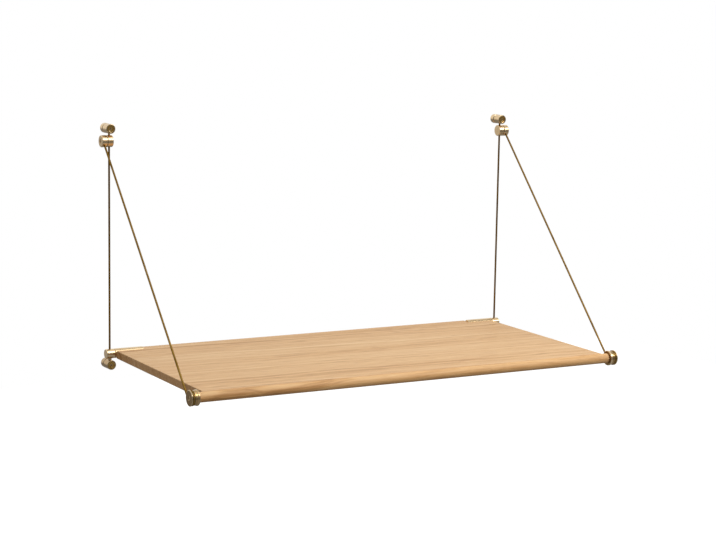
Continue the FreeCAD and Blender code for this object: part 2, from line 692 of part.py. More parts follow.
def make_sliders():
    """Makes the two barrels that slide on the guide rods, with their bushes and hinge pins."""
    bush_top = f"sqrt(slider_diameter * slider_diameter / 4 - {SLIDER_BUSH_RADIUS} * {SLIDER_BUSH_RADIUS})"
    bush_bore = "rod_diameter / 2 + running_clearance"
    pin_inner = f"({BAR_OUTER_END} - pin_reach)"
    pin_outer = f"({GUIDE_X} - {SLIDER_BUSH_RADIUS} - running_clearance)"
    for hand, side in SIDES.items():
        x = f"{side} * {GUIDE_X}"
        make_slider(f"{hand}_slider", side)
        foot = f"{HINGE_Z} - {SLIDER_FLAT}"
        bush_length = f"{bush_top} + {SLIDER_FLAT}"
        bush = f"{hand}_slider_bush"
        make_tube(bush, SLIDER_BUSH_RADIUS, bush_bore, bush_length, "Z", x, ROD_Y, foot)
        pin_x = start_of(side, pin_inner, pin_outer)
        pin_length = f"{pin_outer} - {pin_inner}"
        make_bar(f"{hand}_hinge_pin", "hinge_pin / 2", pin_length, "X", pin_x, ROD_Y, HINGE_Z)


def make_desktop():
    """Makes the board with its rail, hinge bars and spools."""
    make_board("desktop_board")
    make_rail("front_rail")
    bush_length = "(pin_reach + edge_bevel)"
    bush_inner = f"({BAR_OUTER_END} - {bush_length})"
    bush_bore = "hinge_pin / 2 + running_clearance"
    spacer_inner = f"({RAIL_END} + flange_thickness)"
    spacer_bore = "spool_screw / 2 + seat_clearance"
    bar_screws = []
    for hand, side in SIDES.items():
        make_hinge_bar(f"{hand}_hinge_bar", side)
        bush_x = start_of(side, bush_inner, BAR_OUTER_END)
        bush = f"{hand}_hinge_bush"
        make_tube(bush, HINGE_BUSH_RADIUS, bush_bore, bush_length, "X", bush_x, ROD_Y, HINGE_Z)
        for index in range(SCREWS_PER_BAR):
            bar_screws.append(make_bar_screw(f"{hand}_bar_screw_{index + 1}", side, index))
        make_flange(f"{hand}_spool_flange", side)
        spacer_x = start_of(side, spacer_inner, GROOVE_INNER)
        spacer_length = f"{GROOVE_INNER} - {spacer_inner}"
        spacer = f"{hand}_spool_washer"
        make_tube(spacer, "spacer_diameter / 2", spacer_bore, spacer_length, "X", spacer_x, RAIL_Y, RAIL_Z)
        make_hub(f"{hand}_spool_hub", side)
        make_spool_screw(f"{hand}_spool_screw", side)
    make_group("hinge_bar_screws", bar_screws)


def make_stays():
    """Makes the left and right stays with their knuckles."""
    washer_outer = f"({STAY_X} - knuckle_length / 2)"
    washer_inner = f"({washer_outer} - washer_thickness)"
    washer_bore = "pivot_screw / 2 + seat_clearance"
    for hand, side in SIDES.items():
        make_stay_rod(f"{hand}_stay_rod", side)
        make_knuckle(f"{hand}_swivel_knuckle", side)
        make_pivot_screw(f"{hand}_pivot_screw", side)
        washer_x = start_of(side, washer_inner, washer_outer)
        washer = f"{hand}_pivot_washer"
        radius = "washer_diameter / 2"
        make_tube(washer, radius, washer_bore, "washer_thickness", "X", washer_x, ROD_Y, COLLAR_Z)


def write_pieces():
    """Checks every object and every piece, then writes one file for each piece."""
    doc.recompute()
    for item in doc.Objects:
        if "Invalid" in item.State or "Error" in item.State:
            raise RuntimeError(f"{item.Label} failed: {item.State}")
    for piece in nodes:
        if piece.Shape.isNull() or not piece.Shape.isValid() or not piece.Shape.Solids:
            raise RuntimeError(f"{piece.Label} has no valid shape")
    os.makedirs("parts", exist_ok=True)
    for piece in nodes:
        piece.Shape.exportStep(f"parts/{piece.Label}.step")
        print(f"{piece.Label}: {len(piece.Shape.Solids)} solid, {piece.Shape.Volume / 1000:.2f} cm3")
    print(f"{len(nodes)} pieces")


make_wall_frame()
make_sliders()
make_desktop()
make_stays()
write_pieces()
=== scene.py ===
import logging
import math
from dataclasses import dataclass, field
from enum import Enum
from typing import Any, Iterable, Optional, Sequence

import bmesh
import bpy
from mathutils import Matrix, Vector

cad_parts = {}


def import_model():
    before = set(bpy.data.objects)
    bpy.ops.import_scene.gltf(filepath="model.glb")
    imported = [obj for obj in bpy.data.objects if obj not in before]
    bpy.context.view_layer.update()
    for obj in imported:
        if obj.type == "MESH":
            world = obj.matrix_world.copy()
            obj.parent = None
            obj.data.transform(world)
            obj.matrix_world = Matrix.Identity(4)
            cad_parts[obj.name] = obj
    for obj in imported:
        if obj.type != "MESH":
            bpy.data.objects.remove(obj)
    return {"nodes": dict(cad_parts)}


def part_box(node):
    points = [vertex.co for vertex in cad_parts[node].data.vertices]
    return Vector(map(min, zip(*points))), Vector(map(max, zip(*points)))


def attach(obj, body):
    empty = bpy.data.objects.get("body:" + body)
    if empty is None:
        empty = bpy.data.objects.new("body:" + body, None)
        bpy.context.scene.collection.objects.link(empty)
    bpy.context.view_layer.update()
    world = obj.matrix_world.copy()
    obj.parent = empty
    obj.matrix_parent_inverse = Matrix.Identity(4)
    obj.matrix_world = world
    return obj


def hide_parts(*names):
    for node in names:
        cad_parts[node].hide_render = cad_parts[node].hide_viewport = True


# Looks of a wall-hung folding desk: an oiled oak board with a round front rail, turned brass
# fittings, two upright guide rods and two slanting stays. Lengths are in metres.
# +X runs along the board, +Y into the wall, +Z up.

logging.basicConfig(level=logging.INFO, format="%(name)s: %(message)s")
log = logging.getLogger("folding_desk")

MM = 0.001
Colour = tuple[float, float, float]
Corner = tuple[float, float]
Span = tuple[float, float]
Point = tuple[float, float, float]
OutlinePoint = tuple[float, float, float, float, float]
Ring = list[bmesh.types.BMVert]
Sockets = dict[Any, Any]
Tones = dict[int, float]
SIDES = {"left": -1, "right": 1}
LEVELS = {"lower": -1, "upper": 1}
TRACK = "turning_track"
WORN = "worn_edge"
# Vertex layers of painted shade and of a painted dark gold reflection on the turned brass.
PAINTED_SHADE_LAYER = "painted_shade_face"
PAINTED_GOLD_LAYER = "painted_gold_reflection"
ALONG = "rod_length"
MERGED = 1e-7
ON_AXIS = 1e-9
NOISE_SPAN = (0.3, 0.7)
NOISE_CORE = (0.35, 0.65)
WHITE = (1.0, 1.0, 1.0, 1.0)


class Slot(Enum):
    """Material slots of the record."""

    OAK = "oak"
    BRASS = "brass"
    ROD = "brass_rod"
    STEEL = "screw_steel"
    POLYMER = "polymer"


class Body(Enum):
    """Bodies of the frame that pieces ride on."""

    WALL = "wall_frame"
    SLIDERS = "sliders"
    DESKTOP = "desktop"
    LEFT_STAY = "left_stay"
    RIGHT_STAY = "right_stay"


class Axis(Enum):
    """Axis that a piece is turned about, as (along, first radial, second radial) unit vectors."""

    X = ((1, 0, 0), (0, 1, 0), (0, 0, 1))
    Y = ((0, 1, 0), (0, 0, 1), (1, 0, 0))
    Z = ((0, 0, 1), (1, 0, 0), (0, 1, 0))

    @property
    def index(self) -> int:
        """Number of the axis: 0, 1 or 2."""
        return "XYZ".index(self.name)


class Graph:
    """Adds nodes to one tree and links them."""

    def __init__(self, tree: bpy.types.NodeTree) -> None:
        """Takes a shader, world or geometry node tree and empties it."""
        self.tree = tree
        self.tree.nodes.clear()

    def add(self, kind: str, inputs: Optional[Sockets] = None, **settings: Any) -> bpy.types.Node:
        """Adds a node, sets its properties and fills its sockets.

        Args:
            kind: Blender's name of the node type.
            inputs: socket name or number to a value or an output socket.
            **settings: properties of the node.

        Returns:
            The new node.
        """
        node = self.tree.nodes.new(kind)
        for name, value in settings.items():
            setattr(node, name, value)
        self.fill(node, inputs or {})
        return node

    def fill(self, node: bpy.types.Node, inputs: Sockets) -> None:
        """Links output sockets to a node's inputs, or sets the inputs' own values.

        Args:
            node: the node.
            inputs: socket name or number to a value or an output socket.
        """
        for key, value in inputs.items():
            if isinstance(value, bpy.types.NodeSocket):
                self.tree.links.new(value, node.inputs[key])
            else:
                node.inputs[key].default_value = value

    def math(self, operation: str, *values: Any) -> bpy.types.NodeSocket:
        """Adds a Math node on numbers or sockets and gives its output."""
        return self.add("ShaderNodeMath", dict(enumerate(values)), operation=operation).outputs[0]

    def sum_of_products(self, *pairs: tuple[Any, Any]) -> bpy.types.NodeSocket:
        """Multiplies the two values of each pair and adds the products up.

        Args:
            *pairs: pairs of numbers or sockets.

        Returns:
            The sum.
        """
        total = self.math("MULTIPLY", *pairs[0])
        for pair in pairs[1:]:
            total = self.math("ADD", total, self.math("MULTIPLY", *pair))
        return total

    def parts(self, vector: bpy.types.NodeSocket) -> Sequence[bpy.types.NodeSocket]:
        """Splits a vector into its three numbers."""
        return self.add("ShaderNodeSeparateXYZ", {0: vector}).outputs

    def mapped(self, value: Any, span: Span, onto: Span = (0.0, 1.0)) -> bpy.types.NodeSocket:
        """Maps a span of a value onto another span, clamped, and gives the result."""
        ends = zip(("From Min", "From Max", "To Min", "To Max"), (*span, *onto))
        return self.add("ShaderNodeMapRange", {"Value": value, **dict(ends)}).outputs["Result"]

    def blend(self, factor: Any, first: Any, second: Any, how: str = "MIX") -> bpy.types.NodeSocket:
        """Mixes two colours.

        Args:
            factor: share of the second colour.
            first: a colour or a socket.
            second: a colour or a socket.
            how: Blender's name of the way they mix.

        Returns:
            The mixed colour.
        """
        pair = [(*colour, 1.0) if isinstance(colour, tuple) else colour for colour in (first, second)]
        # The Mix node's two colours are its sockets 6 and 7, and the mixed colour is its output 2.
        sockets = {0: factor, 6: pair[0], 7: pair[1]}
        return self.add("ShaderNodeMix", sockets, data_type="RGBA", blend_type=how).outputs[2]

    def noise(self, place: Any, stretch: Point, detail: float,
              roughness: float = 0.5) -> bpy.types.NodeSocket:
        """Adds noise whose three frequencies, per metre, are set apart.

        Args:
            place: coordinates.
            stretch: frequency along each axis.
            detail: octaves of finer noise.
            roughness: weight of the finer octaves.

        Returns:
            The noise value.
        """
        mapping = self.add("ShaderNodeMapping", {"Vector": place, "Scale": stretch})
        sockets = {"Vector": mapping.outputs[0], "Scale": 1.0, "Detail": detail, "Roughness": roughness}
        return self.add("ShaderNodeTexNoise", sockets).outputs[0]

    def line_noise(self, place: Any, frequency: float, detail: float) -> bpy.types.NodeSocket:
        """Adds noise along one coordinate, with a frequency per metre, and gives its value."""
        sockets = {"W": self.math("MULTIPLY", place, frequency), "Scale": 1.0, "Detail": detail}
        return self.add("ShaderNodeTexNoise", sockets, noise_dimensions="1D").outputs[0]

    def relief(self, height: Any, strength: float, depth: float) -> bpy.types.NodeSocket:
        """Turns a height into a fine relief and gives its normal."""
        sockets = {"Height": height, "Strength": strength, "Distance": depth}
        return self.add("ShaderNodeBump", sockets).outputs[0]

    def place(self) -> bpy.types.NodeSocket:
        """Gives the coordinates of the piece."""
        return self.add("ShaderNodeTexCoord").outputs["Object"]

    def attribute(self, name: str) -> bpy.types.NodeSocket:
        """Reads a number that is stored on the mesh."""
        return self.add("ShaderNodeAttribute", attribute_name=name).outputs["Fac"]


@dataclass(frozen=True)
class Finish:
    """A surface finish: its record slot and the material that shows it."""

    slot: Slot
    label: str

    def material(self) -> bpy.types.Material:
        """Gives the finish's material, made at its first use.

        Returns:
            The material, named for the finish.
        """
        found = bpy.data.materials.get(self.label)
        if found:
            return found
        made = bpy.data.materials.new(self.label)
        made.use_nodes = True
        graph = Graph(made.node_tree)
        shader = graph.add("ShaderNodeBsdfPrincipled")
        graph.add("ShaderNodeOutputMaterial", {"Surface": shader.outputs[0]})
        graph.fill(shader, self.paint(graph))
        return made

    def paint(self, graph: Graph) -> Sockets:
        """Gives what goes into the shader's sockets."""
        raise NotImplementedError


@dataclass(frozen=True)
class OiledOak(Finish):
    """Oiled light oak: rings about a heart line, streaks, pores and end grain, with painted shade: a warm
    darker tint on the sides and underside.

    Each grain holds noise frequencies per metre. The shares weigh rings, streaks and patches, and the
    stops are where their sum is dark, middle and light.
    """

    dark: Colour = (0.53, 0.285, 0.115)
    middle: Colour = (0.72, 0.438, 0.207)
    light: Colour = (0.82, 0.555, 0.30)
    pore: Colour = (0.38, 0.195, 0.08)
    end_tint: Colour = (0.98, 0.98, 0.98)
    # Painted shade: a warm darker tint for faces that turn away from straight up.
    painted_underside_shade: Colour = (0.97, 0.85, 0.70)
    heart: Corner = (0.75, -0.62)
    ring_frequency: float = 100.0
    wander: float = 0.05
    slant: float = 0.05
    drift_grain: Point = (2.6, 9.0, 9.0)
    streak_grain: Point = (13.0, 260.0, 260.0)
    patch_grain: Point = (1.1, 17.0, 17.0)
    pore_grain: Point = (42.0, 1500.0, 1500.0)
    shares: Point = (0.3, 0.45, 0.25)
    stops: Point = (0.38, 0.49, 0.62)
    pore_span: Span = (0.58, 0.7)
    early_wood: Span = (0.38, 0.56)
    late_pores: float = 0.25
    pore_strength: float = 0.5
    end_facing: Span = (0.55, 0.8)
    under_facing: Span = (-0.1, 0.8)
    roughness: Span = (0.48, 0.62)
    gloss: float = 0.3
    streak_height: float = 0.4
    relief_strength: float = 0.25
    relief_depth: float = 0.15 * MM

    def paint(self, graph: Graph) -> Sockets:
        """Grows rings, streaks and pores, tints the ends, and paints shade as a warm darker tint on the
        sides and underside.

        Args:
            graph: nodes of the material.

        Returns:
            What goes into the shader's sockets.
        """
        coordinates = graph.add("ShaderNodeTexCoord").outputs
        place = coordinates["Object"]
        x, y, z = graph.parts(place)
        drift = graph.noise(place, self.drift_grain, detail=3.0)
        bend = graph.math("MULTIPLY", graph.math("SUBTRACT", drift, 0.5), self.wander)
        aslant = graph.math("ADD", y, graph.math("MULTIPLY", x, self.slant))
        across = graph.math("SUBTRACT", aslant, self.heart[0])
        height = graph.math("SUBTRACT", z, self.heart[1])
        distance = graph.math("SQRT", graph.sum_of_products((across, across), (height, height)))
        rings = graph.line_noise(graph.math("ADD", distance, bend), self.ring_frequency, detail=2.0)
        sway = graph.add("ShaderNodeCombineXYZ", {"Y": bend, "Z": bend}).outputs[0]
        swayed = graph.add("ShaderNodeVectorMath", {0: place, 1: sway}, operation="ADD").outputs[0]
        streaks = graph.noise(swayed, self.streak_grain, detail=4.0, roughness=0.6)
        patches = graph.noise(place, self.patch_grain, detail=2.0)
        cells = graph.mapped(graph.noise(place, self.pore_grain, detail=1.0), self.pore_span)
        pores = graph.math("MULTIPLY", cells, graph.mapped(rings, self.early_wood, (1.0, self.late_pores)))
        colour = self._figure(graph, graph.sum_of_products(*zip((rings, streaks, patches), self.shares)))
        colour = graph.blend(graph.math("MULTIPLY", pores, self.pore_strength), colour, self.pore)
        facing_x, _, facing_z = graph.parts(coordinates["Normal"])
        end_grain = graph.mapped(graph.math("ABSOLUTE", facing_x), self.end_facing)
        colour = graph.blend(end_grain, colour, self.end_tint, "MULTIPLY")
        # Painted shade: the tint is strongest on the sides and underside and fades out towards faces that
        # point up.
        underside = graph.mapped(facing_z, self.under_facing, (1.0, 0.0))
        raised = graph.math("SUBTRACT", graph.math("MULTIPLY", streaks, self.streak_height), pores)
        return {
            "Base Color": graph.blend(underside, colour, self.painted_underside_shade, "MULTIPLY"),
            "Roughness": graph.mapped(streaks, NOISE_SPAN, self.roughness),
            "Specular IOR Level": self.gloss,
            "Normal": graph.relief(raised, self.relief_strength, self.relief_depth),
        }

    def _figure(self, graph: Graph, value: bpy.types.NodeSocket) -> bpy.types.NodeSocket:
        """Colours the figure of the wood from dark over middle to light.

        Args:
            graph: nodes of the material.
            value: the sum of rings, streaks and patches.

        Returns:
            The colour.
        """
        ramp = graph.add("ShaderNodeValToRGB", {0: value})
        elements = ramp.color_ramp.elements
        low, middle, high = self.stops
        for element, stop, colour in ((elements[0], low, self.dark), (elements[1], high, self.light)):
            element.position = stop
            element.color = (*colour, 1.0)
        elements.new(middle).color = (*self.middle, 1.0)
        return ramp.outputs[0]


@dataclass(frozen=True)
class TurnedBrass(Finish):
    """Satin brass: lathe rings, dull patches and bright edges, with painted shade on some faces and a
    painted dark gold reflection in the recesses.
    """

    bright: Colour = (0.76, 0.57, 0.34)
    dull: Colour = (0.65, 0.465, 0.255)
    edge: Colour = (0.84, 0.69, 0.46)
    # Painted shade: dark brown laid on faces that lie in shade or mirror the dim room.
    browned: Colour = (0.31, 0.185, 0.062)
    # Painted dark gold reflection and shade for recesses and front rims.
    painted_gold: Colour = (0.62, 0.37, 0.07)
    roughness: Span = (0.17, 0.28)
    ring_frequency: float = 5200.0
    patch_frequency: float = 45.0
    patch_span: Span = (0.35, 0.7)
    edge_strength: float = 0.6
    shares: Span = (0.6, 0.4)
    relief_strength: float = 0.06
    relief_depth: float = 0.02 * MM

    def paint(self, graph: Graph) -> Sockets:
        """Lays patches, painted shade, a painted dark gold reflection and worn edges over each other, with
        lathe rings.

        Args:
            graph: nodes of the material.

        Returns:
            What goes into the shader's sockets.
        """
        rings = graph.line_noise(graph.attribute(TRACK), self.ring_frequency, detail=2.0)
        patches = graph.noise(graph.place(), (self.patch_frequency,) * 3, detail=3.0)
        colour = graph.blend(graph.mapped(patches, self.patch_span), self.bright, self.dull)
        # Painted shade and dark reflection from the face layer.
        colour = graph.blend(graph.attribute(PAINTED_SHADE_LAYER), colour, self.browned)
        # Painted dark gold reflection in the recesses and on the front rims.
        colour = graph.blend(graph.attribute(PAINTED_GOLD_LAYER), colour, self.painted_gold)
        edges = graph.math("MULTIPLY", graph.attribute(WORN), self.edge_strength)
        matt = graph.sum_of_products(*zip((rings, patches), self.shares))
        return {
            "Base Color": graph.blend(edges, colour, self.edge),
            "Metallic": 1.0,
            "Roughness": graph.mapped(matt, NOISE_SPAN, self.roughness),
            "Normal": graph.relief(rings, self.relief_strength, self.relief_depth),
        }


@dataclass(frozen=True)
class DrawnBrass(Finish):
    """Drawn brass rod, brown from handling, with fine draw lines along it."""

    bright: Colour = (0.30, 0.18, 0.045)
    brown: Colour = (0.195, 0.11, 0.022)
    grazing: Colour = (0.24, 0.14, 0.03)
    roughness: Span = (0.3, 0.44)
    band_frequency: float = 26.0
    draw_lines: Point = (2600.0, 2600.0, 60.0)
    shares: Span = (0.75, 0.25)
    relief_strength: float = 0.05
    relief_depth: float = 0.01 * MM

    def paint(self, graph: Graph) -> Sockets:
        """Mixes brown bands and draw lines.

        Args:
            graph: nodes of the material.

        Returns:
            What goes into the shader's sockets.
        """
        bands = graph.line_noise(graph.attribute(ALONG), self.band_frequency, detail=3.0)
        lines = graph.noise(graph.place(), self.draw_lines, detail=2.0)
        darkening = graph.mapped(graph.sum_of_products(*zip((bands, lines), self.shares)), NOISE_CORE)
        return {
            "Base Color": graph.blend(darkening, self.bright, self.brown),
            "Metallic": 1.0,
            "Specular Tint": (*self.grazing, 1.0),
            "Roughness": graph.mapped(lines, NOISE_SPAN, self.roughness),
            "Normal": graph.relief(lines, self.relief_strength, self.relief_depth),
        }


@dataclass(frozen=True)
class PlainGrained(Finish):
    """A small part's finish: two mixed tones and a fine surface grain."""

    first: Colour
    second: Colour
    metallic: float
    roughness: float
    frequency: float
    unevenness: float = 0.07
    relief_strength: float = 0.1
    relief_depth: float = 0.03 * MM

    def paint(self, graph: Graph) -> Sockets:
        """Mixes the two tones by a fine grain.

        Args:
            graph: nodes of the material.

        Returns:
            What goes into the shader's sockets.
        """
        grain = graph.noise(graph.place(), (self.frequency,) * 3, detail=4.0, roughness=0.6)
        matt = (self.roughness - self.unevenness, self.roughness + self.unevenness)
        return {
            "Base Color": graph.blend(graph.mapped(grain, NOISE_CORE), self.first, self.second),
            "Metallic": self.metallic,
            "Roughness": graph.mapped(grain, NOISE_SPAN, matt),
            "Normal": graph.relief(grain, self.relief_strength, self.relief_depth),
        }


OAK_BOARD = OiledOak(Slot.OAK, "oiled_oak_board")
# The rail's painted shade on its sides and underside is a paler warm tint.
OAK_RAIL = OiledOak(
    Slot.OAK, "oiled_oak_rail", dark=(0.54, 0.28, 0.105), middle=(0.74, 0.433, 0.188),
    light=(0.84, 0.545, 0.27), painted_underside_shade=(0.985, 0.925, 0.85), heart=(-0.30, -0.50))
BRASS = TurnedBrass(Slot.BRASS, "turned_brass")
ROD_BRASS = DrawnBrass(Slot.ROD, "drawn_brass_rod")
SCREW_STEEL = PlainGrained(
    Slot.STEEL, "browned_steel", first=(0.34, 0.26, 0.165), second=(0.46, 0.36, 0.235),
    metallic=1.0, roughness=0.36, frequency=900.0)
PLATED_STEEL = PlainGrained(
    Slot.STEEL, "plated_steel", first=(0.50, 0.35, 0.17), second=(0.60, 0.43, 0.23),
    metallic=1.0, roughness=0.3, frequency=900.0)
POLYMER = PlainGrained(
    Slot.POLYMER, "black_polymer", first=(0.018, 0.016, 0.014), second=(0.04, 0.036, 0.03),
    metallic=0.0, roughness=0.55, frequency=1400.0)


def link(name: str, data: bpy.types.ID) -> bpy.types.Object:
    """Puts a mesh, lamp or camera into the scene as an object at the origin.

    Args:
        name: name of the object.
        data: what it shows.

    Returns:
        The new object.
    """
    made = bpy.data.objects.new(name, data)
    bpy.context.scene.collection.objects.link(made)
    return made


def hand_over(piece: bpy.types.Object, body: Body, node: str) -> bpy.types.Object:
    """Gives a finished piece to the frame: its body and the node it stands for.

    Args:
        piece: the finished mesh object.
        body: the body it moves with.
        node: the frame's node that it stands for.

    Returns:
        The same piece.
    """
    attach(piece, body.value)
    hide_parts(node)
    log.info("%s rides on %s with %s faces", piece.name, body.value, len(piece.data.polygons))
    return piece


def tidy_normals(mesh: bpy.types.Mesh, sharp_degrees: float) -> None:
    """Turns all faces outwards and shades them smooth, apart from sharp edges.

    Args:
        mesh: the mesh.
        sharp_degrees: angle past which an edge stays sharp.
    """
    work = bmesh.new()
    work.from_mesh(mesh)
    bmesh.ops.remove_doubles(work, verts=work.verts, dist=MERGED)
    bmesh.ops.recalc_face_normals(work, faces=work.faces)
    work.to_mesh(mesh)
    work.free()
    mesh.shade_smooth()
    mesh.set_sharp_from_angle(angle=math.radians(sharp_degrees))


@dataclass
class Outline:
    """A closed outline of (along, radius) corners, in metres, with softened corners.

    The painted shade and the painted dark gold reflection, from 0 to 1, are given by the number of the
    corner. A corner is rounded over the soft length, or over a share of a shorter side, between two
    supporting points.
    """

    corners: list[Corner]
    soft: float = 0.3 * MM
    # Painted shade and painted dark gold reflection, per corner.
    painted_shade: Tones = field(default_factory=dict)
    painted_gold: Tones = field(default_factory=dict)
    steps: int = 3
    support: float = 0.5
    side_share: float = 0.3
    straight: float = 0.999

    def softened(self) -> list[OutlinePoint]:
        """Rounds every corner off the axis.

        Returns:
            (along, radius, worn, painted shade, painted gold reflection) points, where worn is 1 on a
            rounded corner.
        """
        points: list[OutlinePoint] = []
        count = len(self.corners)
        for index, corner in enumerate(self.corners):
            here = Vector(corner)
            tones = self.painted_shade.get(index, 0.0), self.painted_gold.get(index, 0.0)
            before = Vector(self.corners[index - 1]) - here
            after = Vector(self.corners[(index + 1) % count]) - here
            back, ahead = before.normalized(), after.normalized()
            if corner[1] < ON_AXIS or abs(back.dot(ahead)) > self.straight:
                points.append((*corner, 0.0, *tones))
                continue
            reach = min(self.soft, self.side_share * before.length, self.side_share * after.length)
            start, end = here + back * reach, here + ahead * reach
            points.append((*(here + back * reach * (1 + self.support)), 0.0, *tones))
            for step in range(self.steps + 1):
                share = step / self.steps
                spot = start * (1 - share) ** 2 + here * 2 * share * (1 - share) + end * share ** 2
                points.append((*spot, 1.0, *tones))
            points.append((*(here + ahead * reach * (1 + self.support)), 0.0, *tones))
        return points


@dataclass
class Turning:
    """A turned piece: an outline turned about an axis line through a centre.

    The heading of 1 or -1 says which way the outline runs along the axis. The flat, where there is
    one, is a plane's point and normal, past which the piece is cut off.
    """

    name: str
    body: Body
    axis: Axis
    centre: Point
    outline: Outline
    finish: Finish
    heading: int = 1
    segments: int = 96
    flat: Optional[tuple[Point, Point]] = None
    sharp_degrees: float = 40.0

    def build(self) -> bpy.types.Object:
        """Turns the outline into a closed mesh and hands it over.

        Returns:
            The mesh object, named for the node it stands for.
        """
        profile = self.outline.softened()
        mesh = bmesh.new()
        layers = [mesh.verts.layers.float.new(name) for name in (TRACK, WORN, PAINTED_SHADE_LAYER, PAINTED_GOLD_LAYER)]
        rings = []
        travelled = 0.0
        last = profile[0]
        for point in profile:
            travelled += math.dist(point[:2], last[:2])
            last = point
            rings.append(self._ring(mesh, point, list(zip(layers, (travelled, *point[2:])))))
        for ring, following in zip(rings, rings[1:] + rings[:1]):
            self._skin(mesh, ring, following)
        bmesh.ops.remove_doubles(mesh, verts=mesh.verts, dist=MERGED)
        bmesh.ops.recalc_face_normals(mesh, faces=mesh.faces)
        if self.flat:
            self._cut_flat(mesh)
        data = bpy.data.meshes.new(self.name)
        mesh.to_mesh(data)
        mesh.free()
        data.shade_smooth()
        if self.flat:
            data.set_sharp_from_angle(angle=math.radians(self.sharp_degrees))
        data.materials.append(self.finish.material())
        return hand_over(link(self.name + "_turned", data), self.body, self.name)

    def _ring(self, mesh: bmesh.types.BMesh, point: OutlinePoint,
              values: Sequence[tuple[Any, float]]) -> Ring:
        """Makes the vertices of one outline point: a ring, or a single one on the axis.

        Args:
            mesh: the mesh under work.
            point: the outline point.
            values: pairs of a vertex layer and the number that is stored in it.

        Returns:
            The vertices in order.
        """
        along, first, second = (Vector(direction) for direction in self.axis.value)
        hub = Vector(self.centre) + along * point[0] * self.heading
        count = self.segments if point[1] > ON_AXIS else 1
        ring = []
        for index in range(count):
            turn = 2 * math.pi * index / count
            vert = mesh.verts.new(hub + (first * math.cos(turn) + second * math.sin(turn)) * point[1])
            for layer, value in values:
                vert[layer] = value
            ring.append(vert)
        return ring

    @staticmethod
    def _skin(mesh: bmesh.types.BMesh, ring: Ring, following: Ring) -> None:
        """Fills the strip between two neighbouring rings.

        Args:
            mesh: the mesh under work.
            ring: a ring, or a single vertex on the axis.
            following: the next one.
        """
        count = max(len(ring), len(following))
        if count == 1:
            return
        for index in range(count):
            step = (index + 1) % count
            loop = [ring[index % len(ring)], ring[step % len(ring)],
                    following[step % len(following)], following[index % len(following)]]
            mesh.faces.new(list(dict.fromkeys(loop)))

    def _cut_flat(self, mesh: bmesh.types.BMesh) -> None:
        """Cuts off what lies past the flat and closes the cut.

        Args:
            mesh: the mesh under work.
        """
        spot, normal = self.flat
        everything = mesh.verts[:] + mesh.edges[:] + mesh.faces[:]
        sliced = bmesh.ops.bisect_plane(
            mesh, geom=everything, plane_co=spot, plane_no=normal, clear_outer=True)
        rim = [item for item in sliced["geom_cut"] if isinstance(item, bmesh.types.BMEdge)]
        bmesh.ops.contextual_create(mesh, geom=rim)
        bmesh.ops.recalc_face_normals(mesh, faces=mesh.faces)


class NodeShaper:
    """Builds a Geometry Nodes tree with named inputs and bakes what it makes."""

    def __init__(self, label: str, inputs: Sequence[tuple[str, str]]) -> None:
        """Makes the tree with its interface.

        Args:
            label: name of the tree.
            inputs: pairs of an input's name and its socket type.
        """
        self.tree = bpy.data.node_groups.new(label, "GeometryNodeTree")
        self.graph = Graph(self.tree)
        sockets = self.tree.interface
        sockets.new_socket(name="Geometry", in_out="INPUT", socket_type="NodeSocketGeometry")
        sockets.new_socket(name="Geometry", in_out="OUTPUT", socket_type="NodeSocketGeometry")
        for name, kind in (*inputs, ("Material", "NodeSocketMaterial")):
            sockets.new_socket(name=name, in_out="INPUT", socket_type=kind)
        self.given = self.graph.add("NodeGroupInput").outputs

    def close(self, geometry: bpy.types.NodeSocket) -> None:
        """Ends the tree in Realize Instances and Set Material.

        Args:
            geometry: what the tree has made.
        """
        real = self.graph.add("GeometryNodeRealizeInstances", {0: geometry})
        sockets = {0: real.outputs[0], "Material": self.given["Material"]}
        dressed = self.graph.add("GeometryNodeSetMaterial", sockets)
        self.graph.add("NodeGroupOutput", {0: dressed.outputs[0]})

    def bake(self, name: str, start: bpy.types.Mesh, values: Sockets,
             sharp_degrees: float) -> bpy.types.Object:
        """Runs the tree on a starting mesh and keeps the result as a plain mesh.

        Args:
            name: name of the piece.
            start: the mesh that the tree starts from.
            values: input name to value.
            sharp_degrees: angle past which an edge stays sharp.

        Returns:
            The object with the baked mesh and no modifier.
        """
        piece = link(name, start)
        modifier = piece.modifiers.new("shape", "NODES")
        modifier.node_group = self.tree
        for item in self.tree.interface.items_tree:
            if item.item_type == "SOCKET" and item.in_out == "INPUT" and item.name in values:
                modifier[item.identifier] = values[item.name]
        piece.update_tag()
        bpy.context.view_layer.update()
        evaluated = piece.evaluated_get(bpy.context.evaluated_depsgraph_get())
        baked = bpy.data.meshes.new_from_object(evaluated)
        piece.modifiers.clear()
        piece.data = baked
        tidy_normals(baked, sharp_degrees)
        return piece


